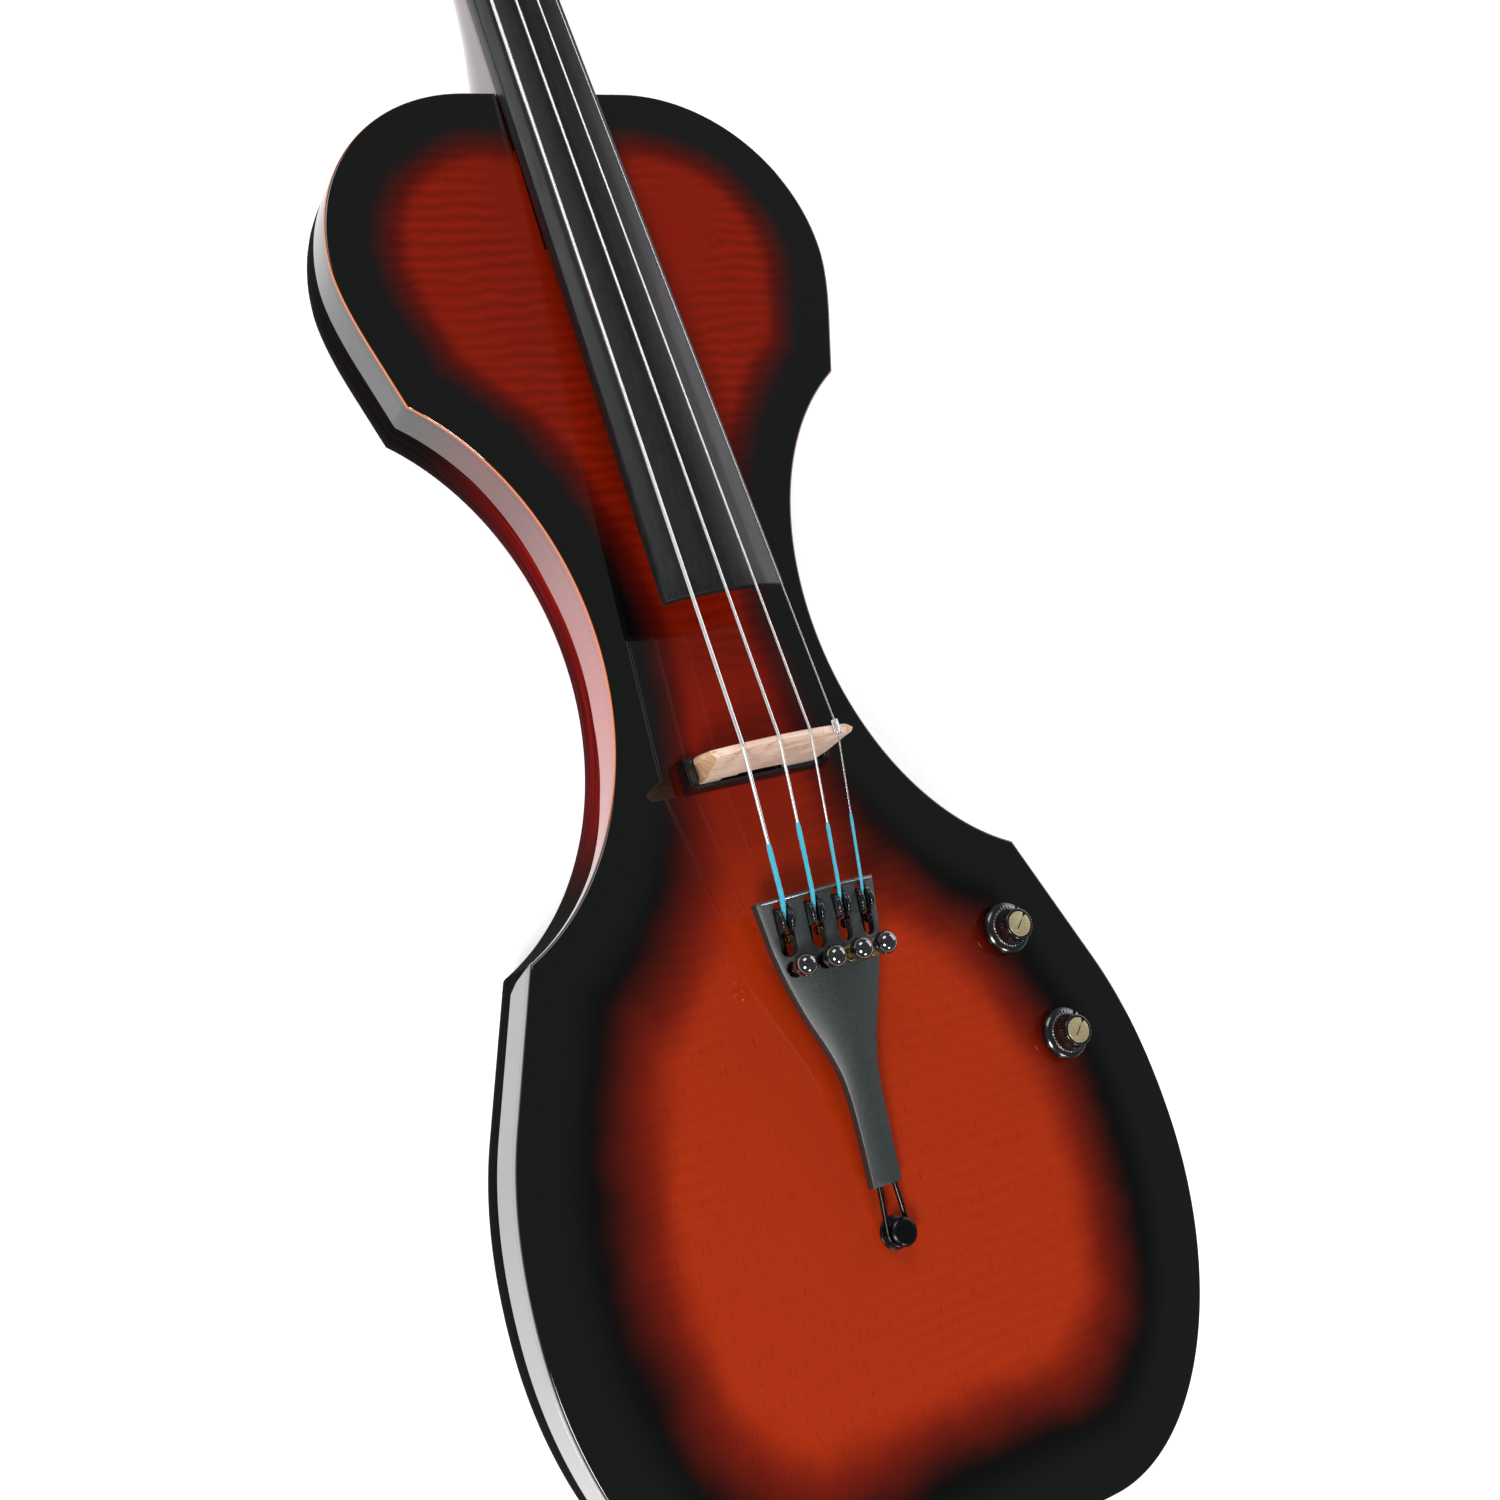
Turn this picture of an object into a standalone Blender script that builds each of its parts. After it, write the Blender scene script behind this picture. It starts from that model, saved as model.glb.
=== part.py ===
"""Solid-body electric cello, lying on its flat back.

Frame: metres, +Z up and out of the front of the instrument, +Y along the strings towards the scroll,
+X towards the A string. The origin is on the flat back, straight under the bridge.
"""

import math

import bmesh
import bpy
from mathutils import Matrix, Vector

# ---------------------------------------------------------------- driving dimensions
TOP = 0.060                  # front surface of the body over the flat back
GAP = 0.0003                 # air between pieces that touch
STRING_LENGTH = 0.690        # bridge to nut
TOP_PLATE = 0.004            # thickness of the maple top

# outline, as half widths along Y
WAIST_Y = 0.063              # centre of the waist's ellipse
WAIST_A = 0.132              # its half length along Y
WAIST_B = 0.1033             # its half width
WAIST_CENTRE_X = 0.1569
LOWER_CORNER = 0.124         # distance from the waist's centre to the lower corner
UPPER_CORNER = 0.116
LOWER_SIDE = Vector((0.360, -0.933))   # run of the side below the lower corner
LOWER_SIDE_LENGTH = 0.0655
LOWER_WIDEST = Vector((0.158, -0.200))
TAIL_Y = -0.338
TAIL_FLAT = 0.066
UPPER_SIDE = Vector((0.300, 0.954))
UPPER_SIDE_LENGTH = 0.030
UPPER_WIDEST = Vector((0.124, 0.245))
HEEL_Y = 0.330
HEEL_FLAT = 0.040
SIDE_FOOT = 0.030            # the side is upright above this height and rolls under below it
ROLL = 0.028                 # how far the rolled edge reaches in

# fingerboard
BOARD_END_Y = 0.070
BOARD_END_HALF = 0.02875
BOARD_NUT_HALF = 0.01575
BOARD_RADIUS = 0.065
BOARD_END_CROWN = TOP + 0.0315
BOARD_NUT_CROWN = TOP - 0.0196
BOARD_END_UNDER = TOP + 0.0187
BOARD_NUT_UNDER = TOP - 0.0270

# strings, bass to treble: name, diameter, height over the top at the bridge
STRINGS = (("C", 0.0019, 0.0406), ("G", 0.0015, 0.0436), ("D", 0.00115, 0.0428), ("A", 0.0008, 0.0384))
BRIDGE_SPACING = 0.01583
NUT_SPACING = 0.0075
NUT_STRING_Z = TOP - 0.0190
TAIL_SPACING = 0.01313
SADDLE_Y = -0.0632           # where the strings cross the tailpiece
SADDLE_STRING_Z = TOP + 0.0300

# tailpiece
TAIL_TOP_Y = -0.0620
TAIL_END_Y = -0.1860
TAIL_THICK = 0.0045
TAIL_CROWN = TOP + 0.0280    # its ridge at the top edge
TAIL_FALL = 0.155            # how fast the ridge comes down towards the tail
SLOT_TOP_Y = -0.0668
SLOT_END_Y = -0.0865
SCREW_Y = -0.0917
SCREW_TRAVEL = 0.0028
PIVOT_Y = -0.0720
PIVOT_Z = TOP + 0.0140
CORD_Z = TOP + 0.0062        # height of the tailpiece's cord
ANCHOR_Y = -0.2060           # button on the body that holds the tailpiece's cord
# half width and depth of its arch along Y
TAIL_STATIONS = (
    (-0.0620, 0.0290, 0.0068), (-0.0720, 0.0277, 0.0062), (-0.0830, 0.0262, 0.0057),
    (-0.0950, 0.0233, 0.0056),
    (-0.1045, 0.0203, 0.0055), (-0.1145, 0.0169, 0.0050), (-0.1250, 0.0128, 0.0040),
    (-0.1370, 0.0092, 0.0028),
    (-0.1500, 0.0076, 0.0020), (-0.1700, 0.0070, 0.0016), (TAIL_END_Y, 0.0070, 0.0014),
)

# endpin, jack and controls
PORT_Z = 0.0425              # height of the endpin's and the jack's axes
ROD_RADIUS = 0.005
ROD_LENGTH = 0.450
JACK_X = 0.042
VOLUME_XY = (0.0995, -0.0990)
TONE_XY = (0.1120, -0.1510)
DOOR_HINGE = (-0.1128, 0.0012)    # X and Z of the battery door's pin
COVER_SCREWS = (("a", (0.0600, -0.1500)), ("b", (0.0960, -0.0950)))

# head
BOX_Y = 0.6965               # the pegbox starts behind the nut
BOX_END_Y = 0.836
PEG_Z = 0.0180
PEGS = (("C", -1, 0.7260), ("A", 1, 0.7500), ("G", -1, 0.7780), ("D", 1, 0.8020))
SCROLL_Y, SCROLL_Z, SCROLL_R = 0.8620, 0.0300, 0.0260

PALETTE = {
    "body_lacquer": ((0.16, 0.02, 0.01), 0.12, 0.0),
    "top_sunburst": ((0.24, 0.03, 0.01), 0.08, 0.0),
    "ebony": ((0.02, 0.02, 0.02), 0.40, 0.0),
    "bridge_maple": ((0.69, 0.53, 0.42), 0.55, 0.0),
    "tailpiece_black": ((0.04, 0.05, 0.05), 0.35, 0.0),
    "pickup_black": ((0.02, 0.02, 0.02), 0.25, 0.0),
    "black_chrome": ((0.03, 0.03, 0.03), 0.08, 0.9),
    "black_metal": ((0.03, 0.03, 0.03), 0.30, 0.6),
    "knob_black": ((0.02, 0.02, 0.02), 0.12, 0.0),
    "knob_gold": ((0.58, 0.47, 0.24), 0.35, 0.6),
    "string_steel": ((0.70, 0.70, 0.72), 0.25, 1.0),
    "brass": ((0.60, 0.42, 0.16), 0.30, 1.0),
    "clear_tube": ((0.80, 0.80, 0.80), 0.10, 0.0),
    "steel": ((0.60, 0.60, 0.62), 0.20, 1.0),
    "rubber": ((0.02, 0.02, 0.02), 0.70, 0.0),
    "circuit": ((0.02, 0.16, 0.06), 0.45, 0.0),
    "battery_skin": ((0.10, 0.10, 0.12), 0.35, 0.2),
    "cable_black": ((0.02, 0.02, 0.02), 0.55, 0.0),
}


# ---------------------------------------------------------------- tools
def clear_scene():
    for obj in list(bpy.data.objects):
        bpy.data.objects.remove(obj)


def material(slot):
    """One Principled material for each entry of the palette, made when it is first used."""
    if slot in bpy.data.materials:
        return bpy.data.materials[slot]
    made = bpy.data.materials.new(slot)
    made.use_nodes = True
    colour, roughness, metallic = PALETTE[slot]
    shader = made.node_tree.nodes["Principled BSDF"]
    shader.inputs["Base Color"].default_value = (*colour, 1.0)
    shader.inputs["Roughness"].default_value = roughness
    shader.inputs["Metallic"].default_value = metallic
    return made


def finish_mesh(name, bm, slot):
    """Turns a bmesh into a named object with outward normals and smooth round faces."""
    bmesh.ops.recalc_face_normals(bm, faces=bm.faces)
    mesh = bpy.data.meshes.new(name)
    bm.to_mesh(mesh)
    bm.free()
    mesh.materials.append(material(slot))
    mesh.shade_smooth()
    mesh.set_sharp_from_angle(angle=math.radians(35))
    obj = bpy.data.objects.new(name, mesh)
    bpy.context.scene.collection.objects.link(obj)
    return obj


def loft(name, rings, slot):
    """A closed solid through rings of equally many points, capped at both ends."""
    bm = bmesh.new()
    made = [[bm.verts.new(p) for p in ring] for ring in rings]
    count = len(made[0])
    for low, high in zip(made, made[1:]):
        for i in range(count):
            j = (i + 1) % count
            bm.faces.new((low[i], low[j], high[j], high[i]))
    bm.faces.new(made[0])
    bm.faces.new(list(reversed(made[-1])))
    return finish_mesh(name, bm, slot)


def box(name, low, high, slot, bevel=0.0):
    corners = ((low[0], low[1]), (high[0], low[1]), (high[0], high[1]), (low[0], high[1]))
    obj = loft(name, [[(x, y, z) for x, y in corners] for z in (low[2], high[2])], slot)
    if bevel:
        add_bevel(obj, bevel, 1)
    return obj


def prism(name, outline, axis, start, end, slot):
    """Extrudes a 2-D outline along an axis: X takes (y, z), Y takes (x, z) and Z takes (x, y) points."""
    place = {"X": lambda a, b, c: (c, a, b), "Y": lambda a, b, c: (a, c, b), "Z": lambda a, b, c: (a, b, c)}
    return loft(name, [[place[axis](a, b, c) for a, b in outline] for c in (start, end)], slot)


def turned(name, profile, centre, axis, slot, steps=16):
    """A solid of revolution. The profile is (radius, distance along the axis), from one end to the other."""
    along = {"X": Vector((1, 0, 0)), "-X": Vector((-1, 0, 0)), "Y": Vector((0, 1, 0)),
             "-Y": Vector((0, -1, 0)), "Z": Vector((0, 0, 1))}[axis]
    turn = along.to_track_quat("Z", "Y").to_matrix()
    rings = []
    for radius, distance in profile:
        ring = []
        for step in range(steps):
            angle = 2 * math.pi * step / steps
            point = turn @ Vector((radius * math.cos(angle), radius * math.sin(angle), distance))
            ring.append(Vector(centre) + point)
        rings.append(ring)
    return loft(name, rings, slot)


def tube(name, points, radius, slot, sides=2):
    """A round bar along a polyline. sides is the curve's bevel resolution."""
    curve = bpy.data.curves.new(name, "CURVE")
    curve.dimensions = "3D"
    curve.bevel_depth = radius
    curve.bevel_resolution = sides
    curve.use_fill_caps = True
    spline = curve.splines.new("POLY")
    spline.points.add(len(points) - 1)
    for node, point in zip(spline.points, points):
        node.co = (*point, 1.0)
    curve.materials.append(material(slot))
    obj = bpy.data.objects.new(name, curve)
    bpy.context.scene.collection.objects.link(obj)
    return obj


def add_bevel(obj, width, segments):
    bevel = obj.modifiers.new("bevel", "BEVEL")
    bevel.width = width
    bevel.segments = segments
    bevel.limit_method = "ANGLE"
    bevel.angle_limit = math.radians(40)
    return bevel


def combine(obj, other, operation):
    """Boolean of obj with a helper shape, which stays out of the render."""
    other.hide_render = True
    other.display_type = "WIRE"
    boolean = obj.modifiers.new(operation.lower(), "BOOLEAN")
    boolean.operation = operation
    boolean.object = other
    boolean.solver = "EXACT"


def cut(obj, *cutters):
    for cutter in cutters:
        combine(obj, cutter, "DIFFERENCE")


def weld_on(obj, *others):
    for other in others:
        combine(obj, other, "UNION")


def between(a, b, share):
    return a + (b - a) * share


def bezier(start, pull, end, steps):
    """Points of a quadratic curve, without its first."""
    made = []
    for step in range(1, steps + 1):
        t = step / steps
        made.append(start * (1 - t) ** 2 + pull * (2 * t * (1 - t)) + end * t ** 2)
    return made


# ---------------------------------------------------------------- body
def waist_half(offset):
    """Half width of the waist at a distance along Y from its narrowest place."""
    return WAIST_CENTRE_X - WAIST_B * math.sqrt(1 - (offset / WAIST_A) ** 2)


def half_outline():
    """Right-hand edge of the body from the tail to the neck, as (half width, y), rising in y."""
    points = [Vector((TAIL_FLAT, TAIL_Y))]
    for step in range(1, 11):
        angle = math.radians(90 * step / 10)
        points.append(Vector((
            TAIL_FLAT + (LOWER_WIDEST.x - TAIL_FLAT) * math.sin(angle),
            LOWER_WIDEST.y + (TAIL_Y - LOWER_WIDEST.y) * math.cos(angle),
        )))
    corner = Vector((waist_half(LOWER_CORNER), WAIST_Y - LOWER_CORNER))
    hip = corner + LOWER_SIDE * LOWER_SIDE_LENGTH
    pull = hip + LOWER_SIDE * ((LOWER_WIDEST.x - hip.x) / LOWER_SIDE.x)
    points += bezier(LOWER_WIDEST, pull, hip, 4)
    steps = 22
    reach = math.asin(LOWER_CORNER / WAIST_A)
    end = math.asin(UPPER_CORNER / WAIST_A)
    for step in range(steps + 1):
        offset = WAIST_A * math.sin(-reach + (reach + end) * step / steps)
        points.append(Vector((waist_half(offset), WAIST_Y + offset)))
    corner = points[-1]
    shoulder = corner + UPPER_SIDE * UPPER_SIDE_LENGTH
    pull = shoulder + UPPER_SIDE * ((UPPER_WIDEST.x - shoulder.x) / UPPER_SIDE.x)
    points.append(shoulder)
    points += bezier(shoulder, pull, UPPER_WIDEST, 3)
    for step in range(1, 10):
        angle = math.radians(90 * step / 9)
        points.append(Vector((
            HEEL_FLAT + (UPPER_WIDEST.x - HEEL_FLAT) * math.cos(angle),
            UPPER_WIDEST.y + (HEEL_Y - UPPER_WIDEST.y) * math.sin(angle),
        )))
    return points


def back_height(y):
    """Height of the back over the floor: flat, and rolled up at the tail and at the neck."""
    inside = max(0.0, min(y - TAIL_Y, HEEL_Y - y))
    if inside >= ROLL:
        return 0.0
    return SIDE_FOOT * (1 - math.sqrt(1 - ((ROLL - inside) / ROLL) ** 2))


def body_section(half, y):
    """One cross-section of the body: upright sides on a rolled lower edge."""
    lift = back_height(y)
    right = [(half, TOP - TOP_PLATE - GAP), (half, SIDE_FOOT)]
    for step in range(1, 5):
        angle = math.radians(90 * step / 4)
        right.append((half - ROLL * (1 - math.cos(angle)), lift
                      + (SIDE_FOOT - lift) * (1 - math.sin(angle))))
    if lift >= SIDE_FOOT - 1e-6:      # the last section is only the upright part
        right = [(half - ROLL * (1 - math.cos(math.radians(90 * s / 5))), SIDE_FOOT) for s in range(0, 6)]
        right[0] = (half, TOP - TOP_PLATE - GAP)
    left = [(-x, z) for x, z in reversed(right)]
    return [(x, y, z) for x, z in right + left]


def make_body():
    outline = half_outline()
    body = loft("body", [body_section(half, y) for half, y in outline], "body_lacquer")
    top = prism("top_plate", [(x, y) for x, y in outline] + [(-x, y) for x, y in reversed(outline)],
                "Z", TOP - TOP_PLATE, TOP, "top_sunburst")
    pocket = box("cut_neck_pocket", (-0.0230, 0.2497, 0.0217), (0.0230, HEEL_Y + 0.01, TOP + 0.01), "ebony")
    board_bed = box("cut_board_bed", (-0.0246, 0.3000, 0.0580), (0.0246, HEEL_Y + 0.01, TOP + 0.01),
                    "ebony")
    cut(body, pocket)
    cut(top, pocket, board_bed)
    chambers = (
        ("control", (0.080, -0.178, 0.022), (0.122, -0.082, TOP)),
        ("access", (0.0625, -0.1475, -0.010), (0.0935, -0.0975, 0.040)),
        ("cover_recess", (0.0572, -0.1528, -0.010), (0.0988, -0.0922, 0.0024)),
        ("tail_left", (-0.120, -0.290, 0.012), (-0.025, -0.225, TOP)),
        ("tail_right", (0.025, -0.290, 0.012), (0.120, -0.225, TOP)),
        ("upper_left", (-0.095, 0.200, 0.012), (-0.032, 0.290, TOP)),
        ("upper_right", (0.032, 0.200, 0.012), (0.095, 0.290, TOP)),
    )
    for name, low, high in chambers:
        cut(body, box("cut_" + name, low, high, "ebony"))
    rod_bore = turned("cut_rod_bore", [(ROD_RADIUS + 0.0006, 0.0),
                                       (ROD_RADIUS + 0.0006, ROD_LENGTH + 0.020)],
                      (0, TAIL_Y - 0.005, PORT_Z), "Y", "ebony", 12)
    collar_bore = turned("cut_collar_bore", [(0.0093, 0.0), (0.0093, 0.035)],
                         (0, TAIL_Y - 0.005, PORT_Z), "Y", "ebony", 16)
    jack_bore = turned("cut_jack_bore", [(0.0073, 0.0), (0.0073, 0.050)],
                       (JACK_X, TAIL_Y - 0.005, PORT_Z), "Y", "ebony", 16)
    battery_hole = box("cut_battery", (-0.1153, -0.2083, -0.01), (-0.0547, -0.1717, 0.0273), "ebony")
    door_pin = turned("cut_door_pin", [(0.0008, -0.0212), (0.0008, 0.0212)],
                      (DOOR_HINGE[0], -0.1900, DOOR_HINGE[1]),
                      "Y", "ebony", 8)
    cut(body, rod_bore, collar_bore, jack_bore, battery_hole, door_pin)
    for name, (x, y) in COVER_SCREWS:
        cut(body, turned("cut_cover_" + name, [(0.0016, -0.005), (0.0016, 0.010)], (x, y, 0), "Z", "ebony",
                         8))
    # wire channels, routed from the front under the top plate
    for name, (ax, ay), (bx, by) in (
        ("pickup", (0.0, 0.0035), (0.084, -0.090)),
        ("jack", (0.090, -0.170), (JACK_X, -0.300)),
        ("battery", (-0.060, -0.185), (0.084, -0.160)),
    ):
        run = Vector((bx - ax, by - ay)).normalized()
        side = Vector((-run.y, run.x)) * 0.0032
        a, b = Vector((ax, ay)) - run * 0.004, Vector((bx, by)) + run * 0.004
        cut(body, prism("cut_wire_" + name, [a - side, b - side, b + side, a + side],
                        "Z", 0.0490, TOP, "ebony"))
    # the battery's wire drops into its box
    cut(body, box("cut_battery_drop", (-0.064, -0.188, 0.020), (-0.057, -0.182, TOP), "ebony"))
    jack_drop = box("cut_jack_drop", (JACK_X - 0.0032, -0.304, 0.0425), (JACK_X + 0.0032, -0.294, TOP),
                    "ebony")
    cut(body, jack_drop)
    cut(top, turned("cut_pickup_wire", [(0.0020, 0.0), (0.0020, 0.02)], (0, 0.0035, TOP - 0.01), "Z",
                    "ebony", 8))
    for name, (x, y) in (("volume", VOLUME_XY), ("tone", TONE_XY)):
        cut(top, turned("cut_shaft_" + name, [(0.0046, 0.0), (0.0046, 0.02)], (x, y, TOP - 0.01), "Z",
                        "ebony", 12))
    return body, top


# ---------------------------------------------------------------- neck, fingerboard and head
def along_board(y, at_end, at_nut):
    share = (y - BOARD_END_Y) / (STRING_LENGTH - BOARD_END_Y)
    return between(at_end, at_nut, share)


def board_half(y):
    return along_board(y, BOARD_END_HALF, BOARD_NUT_HALF)


def board_under(y):
    return along_board(y, BOARD_END_UNDER, BOARD_NUT_UNDER)


def board_surface(x, y):
    crown = along_board(y, BOARD_END_CROWN, BOARD_NUT_CROWN)
    return crown - BOARD_RADIUS + math.sqrt(BOARD_RADIUS ** 2 - x ** 2)


def make_fingerboard():
    """Arched on top, flat under the neck and hollowed where it hangs over the body."""
    rings = []
    for y in (BOARD_END_Y, 0.150, 0.240, 0.300, 0.302, STRING_LENGTH - GAP):
        half, under = board_half(y), board_under(y)
        hollow = 0.0065 if y <= 0.240 else (0.0045 if y <= 0.300 else 0.0)
        ring = [(half * (1 - 2 * i / 10), y, board_surface(half * (1 - 2 * i / 10), y)) for i in range(11)]
        for i in range(7):
            x = -half + 2 * half * i / 6
            ring.append((x, y, under + hollow * (1 - (x / half) ** 2)))
        rings.append(ring)
    return loft("fingerboard", rings, "ebony")


def neck_section(y, half, high, low):
    """Flat on top and round behind."""
    ring = [(half, y, high), (half, y, high - 0.003)]
    for step in range(1, 8):
        angle = math.pi * step / 8
        ring.append((half * math.cos(angle), y, high - 0.003
                     - (high - 0.003 - low) * math.sin(angle) ** 0.8))
    ring += [(-half, y, high - 0.003), (-half, y, high)]
    return ring


def make_neck():
    """Tenon, heel and handle, then the pegbox and the scroll, all of one piece of maple."""
    tenon_half = 0.0227
    rings = []
    for y in (0.250, HEEL_Y + GAP):
        high = board_under(y) - GAP
        ring = [(tenon_half, y, high), (tenon_half, y, high - 0.004)]
        ring += [(tenon_half * (1 - 2 * i / 8), y, 0.0220) for i in range(1, 8)]
        ring += [(-tenon_half, y, high - 0.004), (-tenon_half, y, high)]
        rings.append(ring)
    handle = ((HEEL_Y + 0.0006, 0.0050), (0.360, 0.0100), (0.378, 0.0185), (0.400, 0.0235), (0.430, 0.0245),
              (0.560, 0.0175), (0.660, 0.0115), (0.680, 0.0105))
    for y, low in handle:
        rings.append(neck_section(y, board_half(y) - 0.0002, board_under(y) - GAP, low))
    neck = loft("neck", rings, "body_lacquer")
    box_rings = []
    for y, half, high, low in ((0.672, 0.0150, board_under(0.672) - 0.001, 0.0110),
                               (0.690, 0.0175, board_under(0.690) - 0.001, 0.0035),
                               (BOX_Y, 0.0195, 0.0325, 0.0025), (0.760, 0.0175, 0.0325, 0.0025),
                               (BOX_END_Y, 0.0130, 0.0300, 0.0060), (0.850, 0.0120, 0.0300, 0.0080)):
        box_rings.append([(half, y, high), (half, y, low + 0.004), (half - 0.004, y, low),
                          (-half + 0.004, y, low), (-half, y, low + 0.004), (-half, y, high)])
    pegbox = loft("weld_pegbox", box_rings, "body_lacquer")
    weld_on(neck, pegbox)
    steps = ((0.0240, 0.0040), (0.0200, 0.0090), (0.0200, 0.0150), (0.0110, 0.0180), (0.0110, 0.0225),
             (0.0050, 0.0245))
    profile = [(r, -x) for r, x in reversed(steps)] + [(SCROLL_R, -0.0040),
                                                       (SCROLL_R, 0.0040)] + list(steps)
    weld_on(neck, turned("weld_scroll", profile, (0, SCROLL_Y, SCROLL_Z), "X", "body_lacquer", 20))
    hollow = loft("cut_pegbox", [[(half, y, 0.05), (half, y, 0.0095), (-half, y, 0.0095), (-half, y, 0.05)]
                                 for y, half in ((BOX_Y + 0.004, 0.0135), (0.828, 0.0080))], "ebony")
    cut(neck, hollow)
    for name, _, y in PEGS:
        cut(neck, turned("cut_peg_" + name, [(0.0055, -0.03), (0.0055, 0.03)], (0, y, PEG_Z), "X", "ebony",
                         12))
    return neck


def make_nut():
    outline = [(-BOARD_NUT_HALF, BOARD_NUT_UNDER)]
    for step in range(9):
        x = -BOARD_NUT_HALF + 2 * BOARD_NUT_HALF * step / 8
        outline.append((x, board_surface(x, STRING_LENGTH) - GAP - 0.0001))
    outline.append((BOARD_NUT_HALF, BOARD_NUT_UNDER))
    return prism("nut", outline, "Y", STRING_LENGTH, STRING_LENGTH + 0.0060, "ebony")


def make_peg(name, side, y):
    """A collar, an oval thumb piece and a shaft right through the pegbox. It turns about its shaft."""
    wall = between(0.0195, 0.0175, (y - BOX_Y) / 0.0635) if y < 0.760 else between(0.0175, 0.0130,
                                                                                   (y - 0.760) / 0.076)
    shaft = 0.0050
    profile = [(shaft * 0.9, -wall - 0.002), (shaft, wall + 0.0010), (0.0078, wall + 0.0014),
               (0.0078, wall + 0.0045),
               (0.0052, wall + 0.0065), (0.0050, wall + 0.0150), (0.0060, wall + 0.0200)]
    axis = "X" if side > 0 else "-X"
    peg = turned("peg_" + name, profile, (0, y, PEG_Z), axis, "ebony", 12)
    rings = []
    for out, reach, thick in ((0.0170, 0.0040, 0.0030), (0.0200, 0.0100, 0.0042), (0.0260, 0.0145, 0.0048),
                              (0.0330, 0.0148, 0.0048), (0.0390, 0.0105, 0.0042), (0.0420, 0.0030, 0.0025)):
        rings.append([(side * (wall + out), y + reach * math.cos(math.radians(a)),
                       PEG_Z + thick * math.sin(math.radians(a))) for a in range(0, 360, 30)])
    weld_on(peg, loft("weld_thumb_" + name, rings, "ebony"))
    return peg


# ---------------------------------------------------------------- bridge and tailpiece
def string_x(index, spacing):
    return (index - 1.5) * spacing


def bridge_top(x):
    """Height of the bridge's top edge, a third of a millimetre under the strings."""
    arch = math.sqrt(0.0699 ** 2 - x ** 2) - math.sqrt(0.0699 ** 2 - 0.02375 ** 2)
    return TOP + 0.0390 + arch - 0.040 * (x + 0.02375)


def make_bridge():
    """Maple, thick at the feet and thin under the strings, standing in the groove of the pickup base."""
    left, right, foot, arch = -0.0356, 0.0345, TOP + 0.0033, TOP + 0.0062
    outline = [(-0.0284, foot), (-0.0112, foot), (-0.0112, arch), (0.0131, arch), (0.0131, foot),
               (0.0290, foot),
               (0.0300, TOP + 0.0080), (0.0314, TOP + 0.0120), (0.0365, TOP + 0.0245),
               (0.0358, TOP + 0.0290),
               (right, bridge_top(right))]
    outline += [(between(right, left, i / 14), bridge_top(between(right, left, i / 14)))
                for i in range(1, 15)]
    outline += [(-0.0365, TOP + 0.0250), (-0.0314, TOP + 0.0120), (-0.0294, TOP + 0.0080)]

    def face(start, slope):
        return [(x, start + slope * (z - TOP - 0.0075), z) for x, z in outline]

    bridge = loft("bridge", [face(-0.0049, 0.115), face(0.0044, -0.094)], "bridge_maple")
    cut(bridge, sleeve_shape("cut_sleeve_notch", 0.0018, -0.0060, 0.0060))
    profile = [(-0.0086, TOP + GAP), (-0.0070, TOP + 0.0052), (-0.0055, TOP + 0.0055),
               (0.0055, TOP + 0.0055),
               (0.0064, TOP + 0.0046), (0.0064, TOP + GAP)]
    base = prism("pickup_base", profile, "X", -0.0350, 0.0350, "pickup_black")
    for name, low, high in (("left", -0.0350, -0.0312), ("right", 0.0318, 0.0350)):
        weld_on(base, box("weld_end_" + name, (low, -0.0068, TOP + 0.0030), (high, 0.0060, TOP + 0.0082),
                          "pickup_black"))
    cut(base, box("cut_bridge_groove", (-0.0295, -0.0058, TOP + 0.0016), (0.0305, 0.0053, TOP + 0.01),
                  "ebony"))
    cut(base, turned("cut_base_wire", [(0.0020, 0.0), (0.0020, 0.02)], (0, 0.0035, TOP - 0.01), "Z",
                     "ebony", 8))
    box("piezo_strip", (-0.0270, -0.0035, TOP + 0.0019), (0.0280, 0.0005, TOP + 0.0029), "brass")
    return bridge


def tail_crown(y):
    """Height of the tailpiece's ridge."""
    return TAIL_CROWN + TAIL_FALL * (y - TAIL_TOP_Y)


def tail_surface(x, y):
    """Height of the tailpiece's arched front surface."""
    for (y0, half0, arch0), (y1, half1, arch1) in zip(TAIL_STATIONS, TAIL_STATIONS[1:]):
        if y1 <= y <= y0:
            share = (y - y0) / (y1 - y0)
            return tail_crown(y) - between(arch0, arch1, share) * (x / between(half0, half1, share)) ** 2
    return tail_crown(y)


def stadium(x, half, top, end):
    """Outline of a slot with round ends."""
    turn = [(half * math.cos(math.radians(a)), half * math.sin(math.radians(a))) for a in range(0, 181, 45)]
    return [(x + u, top + v) for u, v in turn] + [(x - u, end + half - v) for u, v in turn]


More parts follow.
